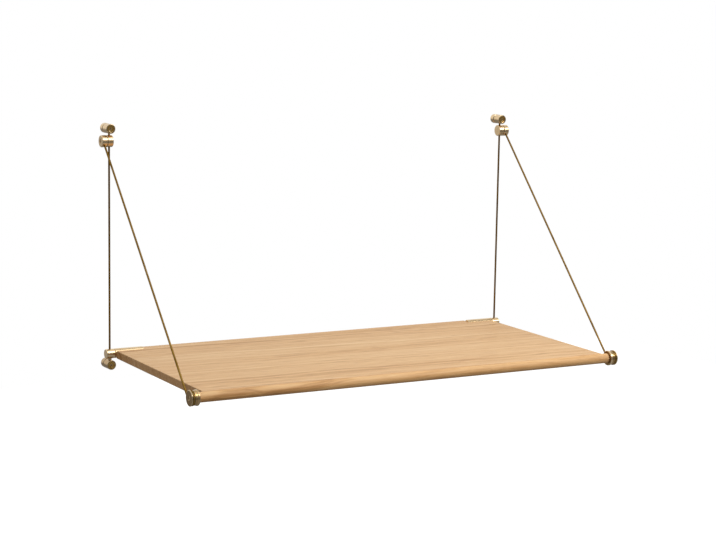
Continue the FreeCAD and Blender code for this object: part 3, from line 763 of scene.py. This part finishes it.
class RodBender(NodeShaper):
    """Draws a round rod along the edges of a starting mesh."""

    ROUND_SIDES = 32
    SHARP_DEGREES = 40.0

    def __init__(self) -> None:
        """Builds the tree: path to curve, curve to tube."""
        super().__init__("drawn_rod", [("Radius", "NodeSocketFloat"), ("Sides", "NodeSocketInt")])
        graph, given = self.graph, self.given
        curve = graph.add("GeometryNodeMeshToCurve", {0: given["Geometry"]})
        length = graph.add("GeometryNodeSplineParameter").outputs["Length"]
        sockets = {0: curve.outputs[0], "Name": ALONG, "Value": length}
        marked = graph.add("GeometryNodeStoreNamedAttribute", sockets, data_type="FLOAT", domain="POINT")
        sockets = {"Resolution": given["Sides"], "Radius": given["Radius"]}
        section = graph.add("GeometryNodeCurvePrimitiveCircle", sockets)
        sockets = {"Curve": marked.outputs[0], "Profile Curve": section.outputs[0], "Fill Caps": True}
        self.close(graph.add("GeometryNodeCurveToMesh", sockets).outputs[0])

    def draw(self, node: str, body: Body, path: Sequence[Point], radius: float, finish: Finish) -> None:
        """Draws one rod and hands it over.

        Args:
            node: the frame's node of the rod.
            body: the body it moves with.
            path: points of its centre line.
            radius: radius of the rod.
            finish: its finish.
        """
        name = node + "_drawn"
        line = bpy.data.meshes.new(name)
        line.from_pydata(path, [(index, index + 1) for index in range(len(path) - 1)], [])
        values = {"Radius": radius, "Sides": self.ROUND_SIDES, "Material": finish.material()}
        hand_over(self.bake(name, line, values, self.SHARP_DEGREES), body, node)


@dataclass(frozen=True)
class ScrewSize:
    """Sizes of a screw with a hexagon socket, whose share is of the head's radius."""

    head_radius: float
    head_height: float
    shank_radius: float
    shank_length: float
    socket_share: float = 0.55
    socket_depth: float = 1.8 * MM


class ScrewSetter(NodeShaper):
    """Sets like screws at the points of a starting mesh, each turned to the way it faces."""

    LENGTHS = ("Head Radius", "Head Height", "Shank Radius", "Shank Length", "Socket Radius", "Socket Depth")
    FACING = "facing"
    HEAD_SIDES = 48
    HEAD_BANDS = 8
    SHANK_SIDES = 32
    SOCKET_SIDES = 6
    RIM_LEVEL = 0.99
    RIM_SHARE = 0.93
    SHARP_DEGREES = 25.0

    def __init__(self) -> None:
        """Builds the tree: a screw of head and shank, and an instance of it on each point."""
        super().__init__("socket_screws", [(name, "NodeSocketFloat") for name in self.LENGTHS])
        graph = self.graph
        screw = graph.add("GeometryNodeJoinGeometry")
        for part in (self._head(), self._shank()):
            graph.fill(screw, {0: part})
        named = {"Name": self.FACING}
        facing = graph.add("GeometryNodeInputNamedAttribute", named, data_type="FLOAT_VECTOR")
        turned = graph.add("FunctionNodeAlignRotationToVector", {"Vector": facing.outputs[0]}, axis="Z")
        points = graph.add("GeometryNodeMeshToPoints", {0: self.given["Geometry"]})
        sockets = {"Points": points.outputs[0], "Instance": screw.outputs[0], "Rotation": turned.outputs[0]}
        self.close(graph.add("GeometryNodeInstanceOnPoints", sockets).outputs[0])

    def _cylinder(self, sides: int, radius: Any, depth: Any, bands: int = 1) -> bpy.types.NodeSocket:
        """Adds a cylinder about the screw's axis and gives its mesh."""
        sockets = {"Vertices": sides, "Side Segments": bands, "Radius": radius, "Depth": depth}
        return self.graph.add("GeometryNodeMeshCylinder", sockets).outputs["Mesh"]

    def _shifted(self, mesh: bpy.types.NodeSocket, rise: Any) -> bpy.types.NodeSocket:
        """Moves a mesh along the screw's axis and gives it."""
        way = self.graph.add("ShaderNodeCombineXYZ", {"Z": rise}).outputs[0]
        return self.graph.add("GeometryNodeTransform", {0: mesh, "Translation": way}).outputs[0]

    def _head(self) -> bpy.types.NodeSocket:
        """Makes the head, with an eased rim and a hexagon socket, below the origin.

        Returns:
            The mesh of the head.
        """
        graph, given = self.graph, self.given
        half = graph.math("MULTIPLY", given["Head Height"], 0.5)
        blank = self._cylinder(self.HEAD_SIDES, given["Head Radius"], given["Head Height"], self.HEAD_BANDS)
        spot = graph.add("GeometryNodeInputPosition").outputs[0]
        levels = {0: graph.parts(spot)[2], 1: graph.math("MULTIPLY", half, self.RIM_LEVEL)}
        at_rim = graph.add("FunctionNodeCompare", levels, data_type="FLOAT", operation="GREATER_THAN")
        narrowing = {0: spot, 1: (self.RIM_SHARE, self.RIM_SHARE, 1.0)}
        drawn_in = graph.add("ShaderNodeVectorMath", narrowing, operation="MULTIPLY")
        sockets = {"Geometry": blank, "Selection": at_rim.outputs[0], "Position": drawn_in.outputs[0]}
        eased = graph.add("GeometryNodeSetPosition", sockets).outputs[0]
        depth = graph.math("MULTIPLY", given["Socket Depth"], 2.0)
        key = self._shifted(self._cylinder(self.SOCKET_SIDES, given["Socket Radius"], depth), half)
        sunk = graph.add("GeometryNodeMeshBoolean", {"Mesh 1": eased, "Mesh 2": key}, operation="DIFFERENCE")
        return self._shifted(sunk.outputs[0], graph.math("MULTIPLY", half, -1.0))

    def _shank(self) -> bpy.types.NodeSocket:
        """Makes the shank, below the head.

        Returns:
            The mesh of the shank.
        """
        graph, given = self.graph, self.given
        rod = self._cylinder(self.SHANK_SIDES, given["Shank Radius"], given["Shank Length"])
        drop = graph.math("ADD", given["Head Height"], graph.math("MULTIPLY", given["Shank Length"], 0.5))
        return self._shifted(rod, graph.math("MULTIPLY", drop, -1.0))

    def set_screws(self, node: str, body: Body, size: ScrewSize, places: Sequence[tuple[Point, Point]],
                   finish: Finish) -> None:
        """Sets a row of like screws that stands for one node, and hands it over.

        Args:
            node: the frame's node of these screws.
            body: the body they move with.
            size: sizes of one screw.
            places: pairs of a head's middle and the way it faces.
            finish: finish of the screws.
        """
        start = bpy.data.meshes.new(node)
        start.from_pydata([place for place, _ in places], [], [])
        facing = start.attributes.new(self.FACING, "FLOAT_VECTOR", "POINT")
        for item, (_, direction) in zip(facing.data, places):
            item.vector = direction
        lengths = (size.head_radius, size.head_height, size.shank_radius, size.shank_length,
                   size.head_radius * size.socket_share, size.socket_depth)
        values = {**dict(zip(self.LENGTHS, lengths)), "Material": finish.material()}
        hand_over(self.bake(node + "_set", start, values, self.SHARP_DEGREES), body, node)


def middle_of(node: str) -> Vector:
    """Gives the middle of a node's box."""
    low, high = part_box(node)
    return (low + high) / 2


def span_of(node: str, axis: Axis) -> Span:
    """Gives the lowest and highest coordinate of a node along an axis."""
    low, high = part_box(node)
    return low[axis.index], high[axis.index]


def outline_mm(*corners: Corner) -> Any:
    """Makes a dataclass field of an outline, given in millimetres and kept in metres."""
    return field(default_factory=lambda: [(along * MM, radius * MM) for along, radius in corners])


def toned(*groups: tuple[Iterable[int], float]) -> Tones:
    """Gives every corner of each group the group's tone."""
    return {corner: tone for corners, tone in groups for corner in corners}


@dataclass(frozen=True)
class Layout:
    """Axes and faces of the fittings on the right, read from the frame."""

    guide_x: float
    rod_y: float
    rod_end: float
    fixing_z: float
    collar_z: float
    hinge_z: float
    rail_y: float
    rail_z: float
    rail_end: float
    stay_x: float
    rod_radius: float

    @classmethod
    def from_frame(cls) -> "Layout":
        """Reads the places from the boxes of a few nodes.

        Returns:
            The layout of the desk at rest.
        """
        guide, rail = middle_of("right_guide_rod"), middle_of("front_rail")
        sides = span_of("right_guide_rod", Axis.X)
        return cls(
            guide_x=guide.x, rod_y=guide.y, rod_end=span_of("right_guide_rod", Axis.Z)[1],
            fixing_z=middle_of("upper_right_rosette").z, collar_z=middle_of("right_upper_collar").z,
            hinge_z=middle_of("right_slider").z, rail_y=rail.y, rail_z=rail.z,
            rail_end=span_of("front_rail", Axis.X)[1], stay_x=middle_of("right_stay_rod").x,
            rod_radius=(sides[1] - sides[0]) / 2)


@dataclass
class WallFrame:
    """What stays on the wall: rosettes, rod holders, guide rods, sleeves and upper collars."""

    layout: Layout
    clamp_face_y: float = -32 * MM
    lock_y: float = -16 * MM
    lock_rise: float = 9 * MM
    collar_screw_y: float = -12.6 * MM
    rosette: list[Corner] = outline_mm(
        (0, 2.6), (0, 10), (10.7, 10), (11.5, 9.2), (11.5, 6.5), (19, 6.5), (19, 4.8), (15.5, 4.8),
        (15.5, 2.6))
    holder: list[Corner] = outline_mm(
        (0, 0), (0, 3.02), (9, 3.02), (9, 6.5), (11, 6.5), (11, 9), (10.2, 9.8), (-9.2, 9.8),
        (-10, 9), (-10, 6.52), (-3.6, 6.52), (-3.6, 0))
    collar: list[Corner] = outline_mm(
        (-6, 0), (-6, 11.2), (-5.2, 12), (5.2, 12), (6, 11.2), (6, 4.52), (3, 4.52), (3, 0))
    sleeve_bore: float = 2.05 * MM
    sleeve_radius: float = 4 * MM
    sleeve_segments: int = 64
    # Painted shade: lower rosettes and holders darker as if under the board, and the holders' front rims
    # darker as if mirroring the dim room.
    level_painted_shade: dict[int, float] = field(default_factory=lambda: {-1: 0.65, 1: 0.0})
    face_painted_shade: float = 0.7
    # Painted dark gold reflection in the holders' recesses and on their front rims.
    recess_painted_gold: float = 1.0
    lip_painted_gold: Span = (0.5, 0.3)
    clamp_screw: ScrewSize = ScrewSize(3 * MM, 3 * MM, 3 * MM, 4 * MM)
    lock_screw: ScrewSize = ScrewSize(1.5 * MM, 2 * MM, 1.5 * MM, 0.5 * MM)
    collar_screw: ScrewSize = ScrewSize(2 * MM, 3 * MM, 2 * MM, 5.4 * MM)

    def build(self, bender: RodBender, setter: ScrewSetter) -> None:
        """Builds and dresses every piece on the wall.

        Args:
            bender: draws the rods.
            setter: sets the screws.
        """
        for height, level in LEVELS.items():
            for hand, side in SIDES.items():
                self._standoff(f"{height}_{hand}", side, level)
        for hand, side in SIDES.items():
            self._guide(hand, side, bender)
        self._screws(setter)

    def _standoff(self, place: str, side: int, level: int) -> None:
        """Turns a rosette and the rod holder on it, which both face the room.

        Args:
            place: level and hand in the names of the nodes.
            side: -1 on the left, 1 on the right.
            level: -1 below, 1 above.
        """
        x, z = side * self.layout.guide_x, level * self.layout.fixing_z
        # Painted shade by level and on the front rim, and a painted dark gold reflection in the recess.
        darkening = self.level_painted_shade[level]
        rosette = Outline(self.rosette, painted_shade=toned(((1, 2, 3), darkening)))
        holder = Outline(
            self.holder, painted_shade=toned(((4, 5), self.face_painted_shade), ((6, 7, 8), darkening)),
            painted_gold=toned(((2, 3), self.recess_painted_gold), ((4,), self.lip_painted_gold[0]), ((5,), self.lip_painted_gold[1])))
        for piece, y, outline in (("rosette", 0, rosette), ("rod_holder", self.layout.rod_y, holder)):
            Turning(f"{place}_{piece}", Body.WALL, Axis.Y, (x, y, z), outline, BRASS, -1).build()

    def _guide(self, hand: str, side: int, bender: RodBender) -> None:
        """Draws a guide rod and turns its sleeve and collar.

        Args:
            hand: left or right, in the names of the nodes.
            side: -1 on the left, 1 on the right.
            bender: draws the rod.
        """
        x, y, end = side * self.layout.guide_x, self.layout.rod_y, self.layout.rod_end
        path = [(x, y, -end), (x, y, 0), (x, y, end)]
        bender.draw(f"{hand}_guide_rod", Body.WALL, path, self.layout.rod_radius, ROD_BRASS)
        node = f"{hand}_rest_sleeve"
        low, high = span_of(node, Axis.Z)
        height = high - low
        tube = Outline([(0, self.sleeve_bore), (0, self.sleeve_radius), (height, self.sleeve_radius),
                        (height, self.sleeve_bore)])
        Turning(node, Body.WALL, Axis.Z, (x, y, low), tube, BRASS, segments=self.sleeve_segments).build()
        centre = (x, y, self.layout.collar_z)
        Turning(f"{hand}_upper_collar", Body.WALL, Axis.X, centre, Outline(self.collar), BRASS, side).build()

    def _screws(self, setter: ScrewSetter) -> None:
        """Sets the clamp, lock and collar screws.

        Args:
            setter: sets the screws.
        """
        clamp, lock, rear = [], [], []
        for side in SIDES.values():
            x = side * self.layout.guide_x
            rear.append(((x, self.collar_screw_y, self.layout.collar_z), (0, 1, 0)))
            for level in LEVELS.values():
                clamp.append(((x, self.clamp_face_y, level * self.layout.fixing_z), (0, -1, 0)))
                height = level * (self.layout.fixing_z + self.lock_rise)
                lock.append(((x, self.lock_y, height), (0, 0, level)))
        setter.set_screws("holder_clamp_screws", Body.WALL, self.clamp_screw, clamp, PLATED_STEEL)
        setter.set_screws("spigot_lock_screws", Body.WALL, self.lock_screw, lock, SCREW_STEEL)
        setter.set_screws("collar_clamp_screws", Body.WALL, self.collar_screw, rear, SCREW_STEEL)


@dataclass
class Sliders:
    """The barrels that slide on the guide rods."""

    barrel: list[Corner] = outline_mm(
        (-9, 3.02), (-9, 8.95), (-8.2, 9.75), (8.2, 9.75), (9, 8.95), (9, 0), (0, 0), (0, 3.02))

    def build(self) -> None:
        """Turns both barrels."""
        for hand, side in SIDES.items():
            node = f"{hand}_slider"
            middle = tuple(middle_of(node))
            Turning(node, Body.SLIDERS, Axis.X, middle, Outline(self.barrel), BRASS, side).build()


@dataclass
class Desktop:
    """The oak board with its rail, hinge bars and spools."""

    layout: Layout
    board_merged: float = 0.001 * MM
    board_sharp: float = 32.0
    board_flat: float = 0.9999
    rail_radius: float = 10 * MM
    rail_bevel: float = 0.8 * MM
    rail_soft: float = 0.4 * MM
    bar_end: float = 453.6 * MM
    bar_face_y: float = -31.75 * MM
    bar_screw_y: float = -14.05 * MM
    bar_screw_x: Span = (400 * MM, 417 * MM)
    spool_screw_x: float = 479.2 * MM
    bar: list[Corner] = outline_mm(
        (0, 4.57), (0, 8.95), (-0.8, 9.75), (-61.8, 9.75), (-62.6, 8.95), (-62.6, 0), (-24.8, 0),
        (-24.8, 4.57))
    flange: list[Corner] = outline_mm(
        (0, 2.52), (0, 14.7), (0.8, 15.5), (3.8, 15.5), (4.6, 14.7), (4.6, 2.52))
    washer: list[Corner] = outline_mm((4.6, 2.52), (4.6, 14.5), (9.8, 14.5), (9.8, 2.52))
    hub: list[Corner] = outline_mm(
        (-2.4, 2.52), (-2.4, 11.2), (2.4, 11.2), (2.4, 14.7), (3.2, 15.5), (4, 15.5), (4.8, 14.7),
        (4.8, 4.82), (1.4, 4.82), (1.4, 2.52))
    # Painted shade on the spools: left rims darker than right ones to suit the light's direction, the washer
    # in the groove, and the hub's edge.
    rim_painted_shade: dict[str, float] = field(default_factory=lambda: {"left": 0.7, "right": 0.0})
    washer_painted_shade: float = 0.75
    hub_edge_painted_shade: float = 0.6
    bar_screw: ScrewSize = ScrewSize(3.8 * MM, 2.6 * MM, 2 * MM, 33.1 * MM)
    spool_screw: ScrewSize = ScrewSize(4.8 * MM, 2.6 * MM, 2.5 * MM, 38.6 * MM, 0.32, 1.0 * MM)

    def build(self, setter: ScrewSetter) -> None:
        """Builds and dresses every piece of the desktop.

        Args:
            setter: sets the screws.
        """
        self._board()
        self._rail()
        bar_screws = []
        for hand, side in SIDES.items():
            self._hinge_bar(hand, side)
            self._spool(hand, side, setter)
            for x in self.bar_screw_x:
                bar_screws.append(((side * x, self.bar_screw_y, self.layout.hinge_z), (0, 1, 0)))
        setter.set_screws("hinge_bar_screws", Body.DESKTOP, self.bar_screw, bar_screws, SCREW_STEEL)

    def _board(self) -> None:
        """Copies the board's own faces, joined, with flat sides and smooth roundings."""
        node = "desktop_board"
        mesh = frame["nodes"][node].data.copy()
        mesh.materials.clear()
        mesh.materials.append(OAK_BOARD.material())
        work = bmesh.new()
        work.from_mesh(mesh)
        bmesh.ops.remove_doubles(work, verts=work.verts, dist=self.board_merged)
        work.to_mesh(mesh)
        work.free()
        mesh.shade_smooth()
        mesh.set_sharp_from_angle(angle=math.radians(self.board_sharp))
        for face in mesh.polygons:
            face.use_smooth = max(abs(part) for part in face.normal) < self.board_flat
        hand_over(link("oak_board", mesh), Body.DESKTOP, node)

    def _rail(self) -> None:
        """Turns the rail, with both ends bevelled."""
        edge, end = self.rail_radius - self.rail_bevel, self.layout.rail_end
        inner = end - self.rail_bevel
        corners = [(-end, 0), (-end, edge), (-inner, self.rail_radius), (inner, self.rail_radius),
                   (end, edge), (end, 0)]
        axis = (0, self.layout.rail_y, self.layout.rail_z)
        outline = Outline(corners, self.rail_soft)
        Turning("front_rail", Body.DESKTOP, Axis.X, axis, outline, OAK_RAIL).build()

    def _hinge_bar(self, hand: str, side: int) -> None:
        """Turns a hinge bar and cuts the flat that lies against the board.

        Args:
            hand: left or right, in the name of the node.
            side: -1 on the left, 1 on the right.
        """
        flat = ((0, self.bar_face_y, 0), (0, -1, 0))
        centre = (side * self.bar_end, self.layout.rod_y, self.layout.hinge_z)
        bar = Outline(self.bar)
        Turning(f"{hand}_hinge_bar", Body.DESKTOP, Axis.X, centre, bar, BRASS, side, flat=flat).build()

    def _spool(self, hand: str, side: int, setter: ScrewSetter) -> None:
        """Turns a spool's flange, washer and hub, and sets its screw.

        Args:
            hand: left or right, in the names of the nodes.
            side: -1 on the left, 1 on the right.
            setter: sets the screw.
        """
        axis = (self.layout.rail_y, self.layout.rail_z)
        rim = self.rim_painted_shade[hand]
        # Painted shade: the flange's face against the rail and the hub's outer face and recess are fully
        # darkened.
        flange = toned(((0, 1), 1.0), ((2, 3, 4, 5), rim))
        washer = toned((range(4), self.washer_painted_shade))
        hub = toned(((1, 2, 3, 4), rim), ((5,), self.hub_edge_painted_shade), ((6, 7, 8, 9), 1.0))
        for piece, x, corners, painted_shade in (
                ("flange", self.layout.rail_end, self.flange, flange),
                ("washer", self.layout.rail_end, self.washer, washer),
                ("hub", self.layout.stay_x, self.hub, hub)):
            outline = Outline(corners, painted_shade=painted_shade)
            centre = (side * x, *axis)
            Turning(f"{hand}_spool_{piece}", Body.DESKTOP, Axis.X, centre, outline, BRASS, side).build()
        place = ((side * self.spool_screw_x, *axis), (side, 0, 0))
        setter.set_screws(f"{hand}_spool_screw", Body.DESKTOP, self.spool_screw, [place], PLATED_STEEL)


@dataclass
class Stay:
    """One slanting stay: its bent rod, swivel knuckle and pivot screw. The eye's angles are in degrees."""

    hand: str
    body: Body
    layout: Layout
    eye_radius: float = 13.3 * MM
    eye_wrap: float = 300.0
    eye_step: float = 3.0
    rod_seat: float = 5 * MM
    run_shares: Point = (1.0, 0.66, 0.33)
    pivot_screw_x: float = 480.1 * MM
    knuckle: list[Corner] = outline_mm(
        (-5.7, 3.02), (-5.7, 11.2), (-4.9, 12), (4.9, 12), (5.7, 11.2), (5.7, 4.82), (2.3, 4.82),
        (2.3, 3.02))
    # Painted shade on the knuckle's outer end face.
    face_painted_shade: float = 0.5
    pivot_screw: ScrewSize = ScrewSize(4.8 * MM, 2.6 * MM, 3 * MM, 8.4 * MM, 0.32, 1.0 * MM)

    def path(self) -> list[Point]:
        """Works out the rod's centre line: a straight run and then the eye round the spool.

        Returns:
            Points from the knuckle down to the end of the eye.
        """
        x = SIDES[self.hand] * self.layout.stay_x
        spool_y, spool_z = self.layout.rail_y, self.layout.rail_z
        reach, fall = self.layout.rod_y - spool_y, self.layout.collar_z - spool_z
        span = math.hypot(reach, fall)
        length = math.sqrt(span ** 2 - self.eye_radius ** 2)
        lean = math.atan2(reach, fall) - math.asin(self.eye_radius / span)

        def spot(out: float, up: float) -> Point:
            """Turns a place beside the rod's run into a point of the frame."""
            y = spool_y + out * math.cos(lean) + up * math.sin(lean)
            return x, y, spool_z - out * math.sin(lean) + up * math.cos(lean)

        radius = self.eye_radius
        run = [spot(radius, (length - self.rod_seat) * share) for share in self.run_shares]
        count = round(self.eye_wrap / self.eye_step)
        turns = [math.radians(self.eye_step * index) for index in range(count + 1)]
        return run + [spot(radius * math.cos(turn), -radius * math.sin(turn)) for turn in turns]

    def build(self, bender: RodBender, setter: ScrewSetter) -> None:
        """Builds and dresses the stay.

        Args:
            bender: draws the rod.
            setter: sets the pivot screw.
        """
        side, pivot = SIDES[self.hand], (self.layout.rod_y, self.layout.collar_z)
        bender.draw(f"{self.hand}_stay_rod", self.body, self.path(), self.layout.rod_radius, ROD_BRASS)
        knuckle = Outline(self.knuckle, painted_shade=toned(((4, 5), self.face_painted_shade)))
        centre = (side * self.layout.stay_x, *pivot)
        Turning(f"{self.hand}_swivel_knuckle", self.body, Axis.X, centre, knuckle, BRASS, side).build()
        place = ((side * self.pivot_screw_x, *pivot), (side, 0, 0))
        setter.set_screws(f"{self.hand}_pivot_screw", self.body, self.pivot_screw, [place], PLATED_STEEL)


class HiddenPieces:
    """Small pieces inside the fittings that keep the frame's own shapes."""

    FINISHES = {"bush": POLYMER, "washer": POLYMER, "pin": SCREW_STEEL, "insert": SCREW_STEEL}

    def dress(self) -> None:
        """Gives each shown node of the frame the finish of its kind."""
        for name, node in frame["nodes"].items():
            if node.hide_render:
                continue
            finish = next(look for word, look in self.FINISHES.items() if name.endswith(word))
            for slot in node.material_slots:
                slot.material = finish.material()
            log.info("%s keeps its shape, in %s", name, finish.label)


@dataclass(frozen=True)
class Softbox:
    """A square soft lamp."""

    name: str
    place: Point
    size: float
    power: float

    def hang(self, target: Point) -> None:
        """Hangs the lamp so that it points at a target.

        Args:
            target: the point that it lights.
        """
        data = bpy.data.lights.new(self.name, "AREA")
        data.size = self.size
        data.energy = self.power
        lamp = link(self.name, data)
        lamp.location = self.place
        aim = Vector(target) - Vector(self.place)
        lamp.rotation_euler = aim.to_track_quat("-Z", "Y").to_euler()


@dataclass
class Studio:
    """Floor, light and camera.

    What is mirrored is the strength of the white that metal shows. Each turn is a span of one part of
    a direction, over which the surroundings change.
    """

    floor_z: float = -0.956
    floor_half: float = 3.0
    floor_colour: Colour = (0.3, 0.3, 0.3)
    floor_white: float = 0.84
    floor_mirrored: float = 0.1
    floor_fade: Span = (0.6, 2.4)
    room_below: float = 0.1
    room_above: float = 0.6
    room_turn: Span = (-0.1, 0.8)
    front_mirrored: float = 0.3
    front_turn: Span = (-0.2, 0.4)
    below_mirrored: float = 0.3
    below_turn: Span = (-0.25, 0.05)
    key_lamp: Softbox = Softbox("key_softbox", (1.7, -2.4, 2.1), 1.6, 57.0)
    top_lamp: Softbox = Softbox("top_softbox", (0.35, -0.95, 1.35), 1.4, 8.0)
    lamp_target: Point = (0.0, -0.25, -0.1)
    eye: Point = (-1.928, -3.732, 0.5664)
    azimuth: float = -29.391
    elevation: float = 9.470
    roll: float = 1.102
    focal_pixels: float = 1977.9
    centre_right: float = 20.0
    centre_down: float = 28.0
    image_width: int = 716
    sensor: float = 36.0
    sight: float = 60.0

    def build(self) -> None:
        """Sets up the whole studio."""
        scene = bpy.context.scene
        scene.view_settings.view_transform = "Standard"
        self._floor()
        self._world(scene)
        for lamp in (self.key_lamp, self.top_lamp):
            lamp.hang(self.lamp_target)
        self._camera(scene)

    @staticmethod
    def _shown(graph: Graph, mirrored: Any) -> bpy.types.NodeSocket:
        """Gives how strongly a ray sees the white: the camera's fully, a mirrored one in part.

        Args:
            graph: nodes of the floor or the world.
            mirrored: strength of the white in metal.

        Returns:
            The strength.
        """
        path = graph.add("ShaderNodeLightPath").outputs
        direct = graph.math("MAXIMUM", path["Is Camera Ray"], path["Is Transmission Ray"])
        return graph.math("MAXIMUM", direct, graph.math("MULTIPLY", path["Is Glossy Ray"], mirrored))

    def _floor(self) -> None:
        """Lays a plain pale floor that shows as white behind the desk."""
        half = self.floor_half
        mesh = bpy.data.meshes.new("studio_floor")
        corners = [(x * half, y * half, self.floor_z) for x, y in ((-1, -1), (1, -1), (1, 1), (-1, 1))]
        mesh.from_pydata(corners, [], [(0, 1, 2, 3)])
        material = bpy.data.materials.new("studio_floor")
        material.use_nodes = True
        graph = Graph(material.node_tree)
        plain = graph.add("ShaderNodeBsdfDiffuse", {"Color": (*self.floor_colour, 1.0)})
        level = {0: graph.place(), 1: (1.0, 1.0, 0.0)}
        flat = graph.add("ShaderNodeVectorMath", level, operation="MULTIPLY").outputs[0]
        distance = graph.add("ShaderNodeVectorMath", {0: flat}, operation="LENGTH").outputs["Value"]
        spread = graph.mapped(distance, self.floor_fade, (self.floor_white, 1.0))
        strength = graph.math("MULTIPLY", self._shown(graph, self.floor_mirrored), spread)
        white = graph.add("ShaderNodeEmission", {"Color": WHITE, "Strength": strength})
        both = graph.add("ShaderNodeAddShader", {0: plain.outputs[0], 1: white.outputs[0]})
        graph.add("ShaderNodeOutputMaterial", {"Surface": both.outputs[0]})
        mesh.materials.append(material)
        link("studio_floor", mesh)

    def _world(self, scene: bpy.types.Scene) -> None:
        """Makes the surroundings: a white backdrop, which metal shows too, and a dim room before it.

        Args:
            scene: the scene that gets them.
        """
        world = bpy.data.worlds.new("studio")
        scene.world = world
        world.use_nodes = True
        graph = Graph(world.node_tree)
        _, inward, upward = graph.parts(graph.add("ShaderNodeTexCoord").outputs["Generated"])
        behind = graph.mapped(inward, self.front_turn, (self.front_mirrored, 1.0))
        above = graph.mapped(upward, self.below_turn, (self.below_mirrored, 1.0))
        shown = self._shown(graph, graph.math("MULTIPLY", behind, above))
        room = graph.mapped(upward, self.room_turn, (self.room_below, self.room_above))
        strength = graph.math("MAXIMUM", room, shown)
        light = graph.add("ShaderNodeBackground", {"Color": WHITE, "Strength": strength})
        graph.add("ShaderNodeOutputWorld", {"Surface": light.outputs[0]})

    def _camera(self, scene: bpy.types.Scene) -> None:
        """Places the camera at the photograph's viewing angle.

        Args:
            scene: the scene that it shows.
        """
        turn, tip, roll = (math.radians(angle) for angle in (self.azimuth, self.elevation, self.roll))
        ahead = Vector((-math.sin(turn) * math.cos(tip), math.cos(turn) * math.cos(tip), -math.sin(tip)))
        level = ahead.cross(Vector((0, 0, 1))).normalized()
        upright = level.cross(ahead)
        right = level * math.cos(roll) + upright * math.sin(roll)
        up = upright * math.cos(roll) - level * math.sin(roll)
        data = bpy.data.cameras.new("camera")
        data.sensor_width = self.sensor
        data.lens = self.focal_pixels * self.sensor / self.image_width
        data.shift_x = -self.centre_right / self.image_width
        data.shift_y = self.centre_down / self.image_width
        data.clip_end = self.sight
        camera = link("camera", data)
        facing = Matrix((right, up, -ahead)).transposed()
        camera.matrix_world = Matrix.Translation(self.eye) @ facing.to_4x4()
        scene.camera = camera


def main() -> None:
    """Builds the desk piece by piece, then the studio round it."""
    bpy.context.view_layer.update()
    bender = RodBender()
    setter = ScrewSetter()
    layout = Layout.from_frame()
    WallFrame(layout).build(bender, setter)
    Sliders().build()
    Desktop(layout).build(setter)
    for hand, body in (("left", Body.LEFT_STAY), ("right", Body.RIGHT_STAY)):
        Stay(hand, body, layout).build(bender, setter)
    HiddenPieces().dress()
    Studio().build()


if __name__ == "__main__":
    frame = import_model()
    main()
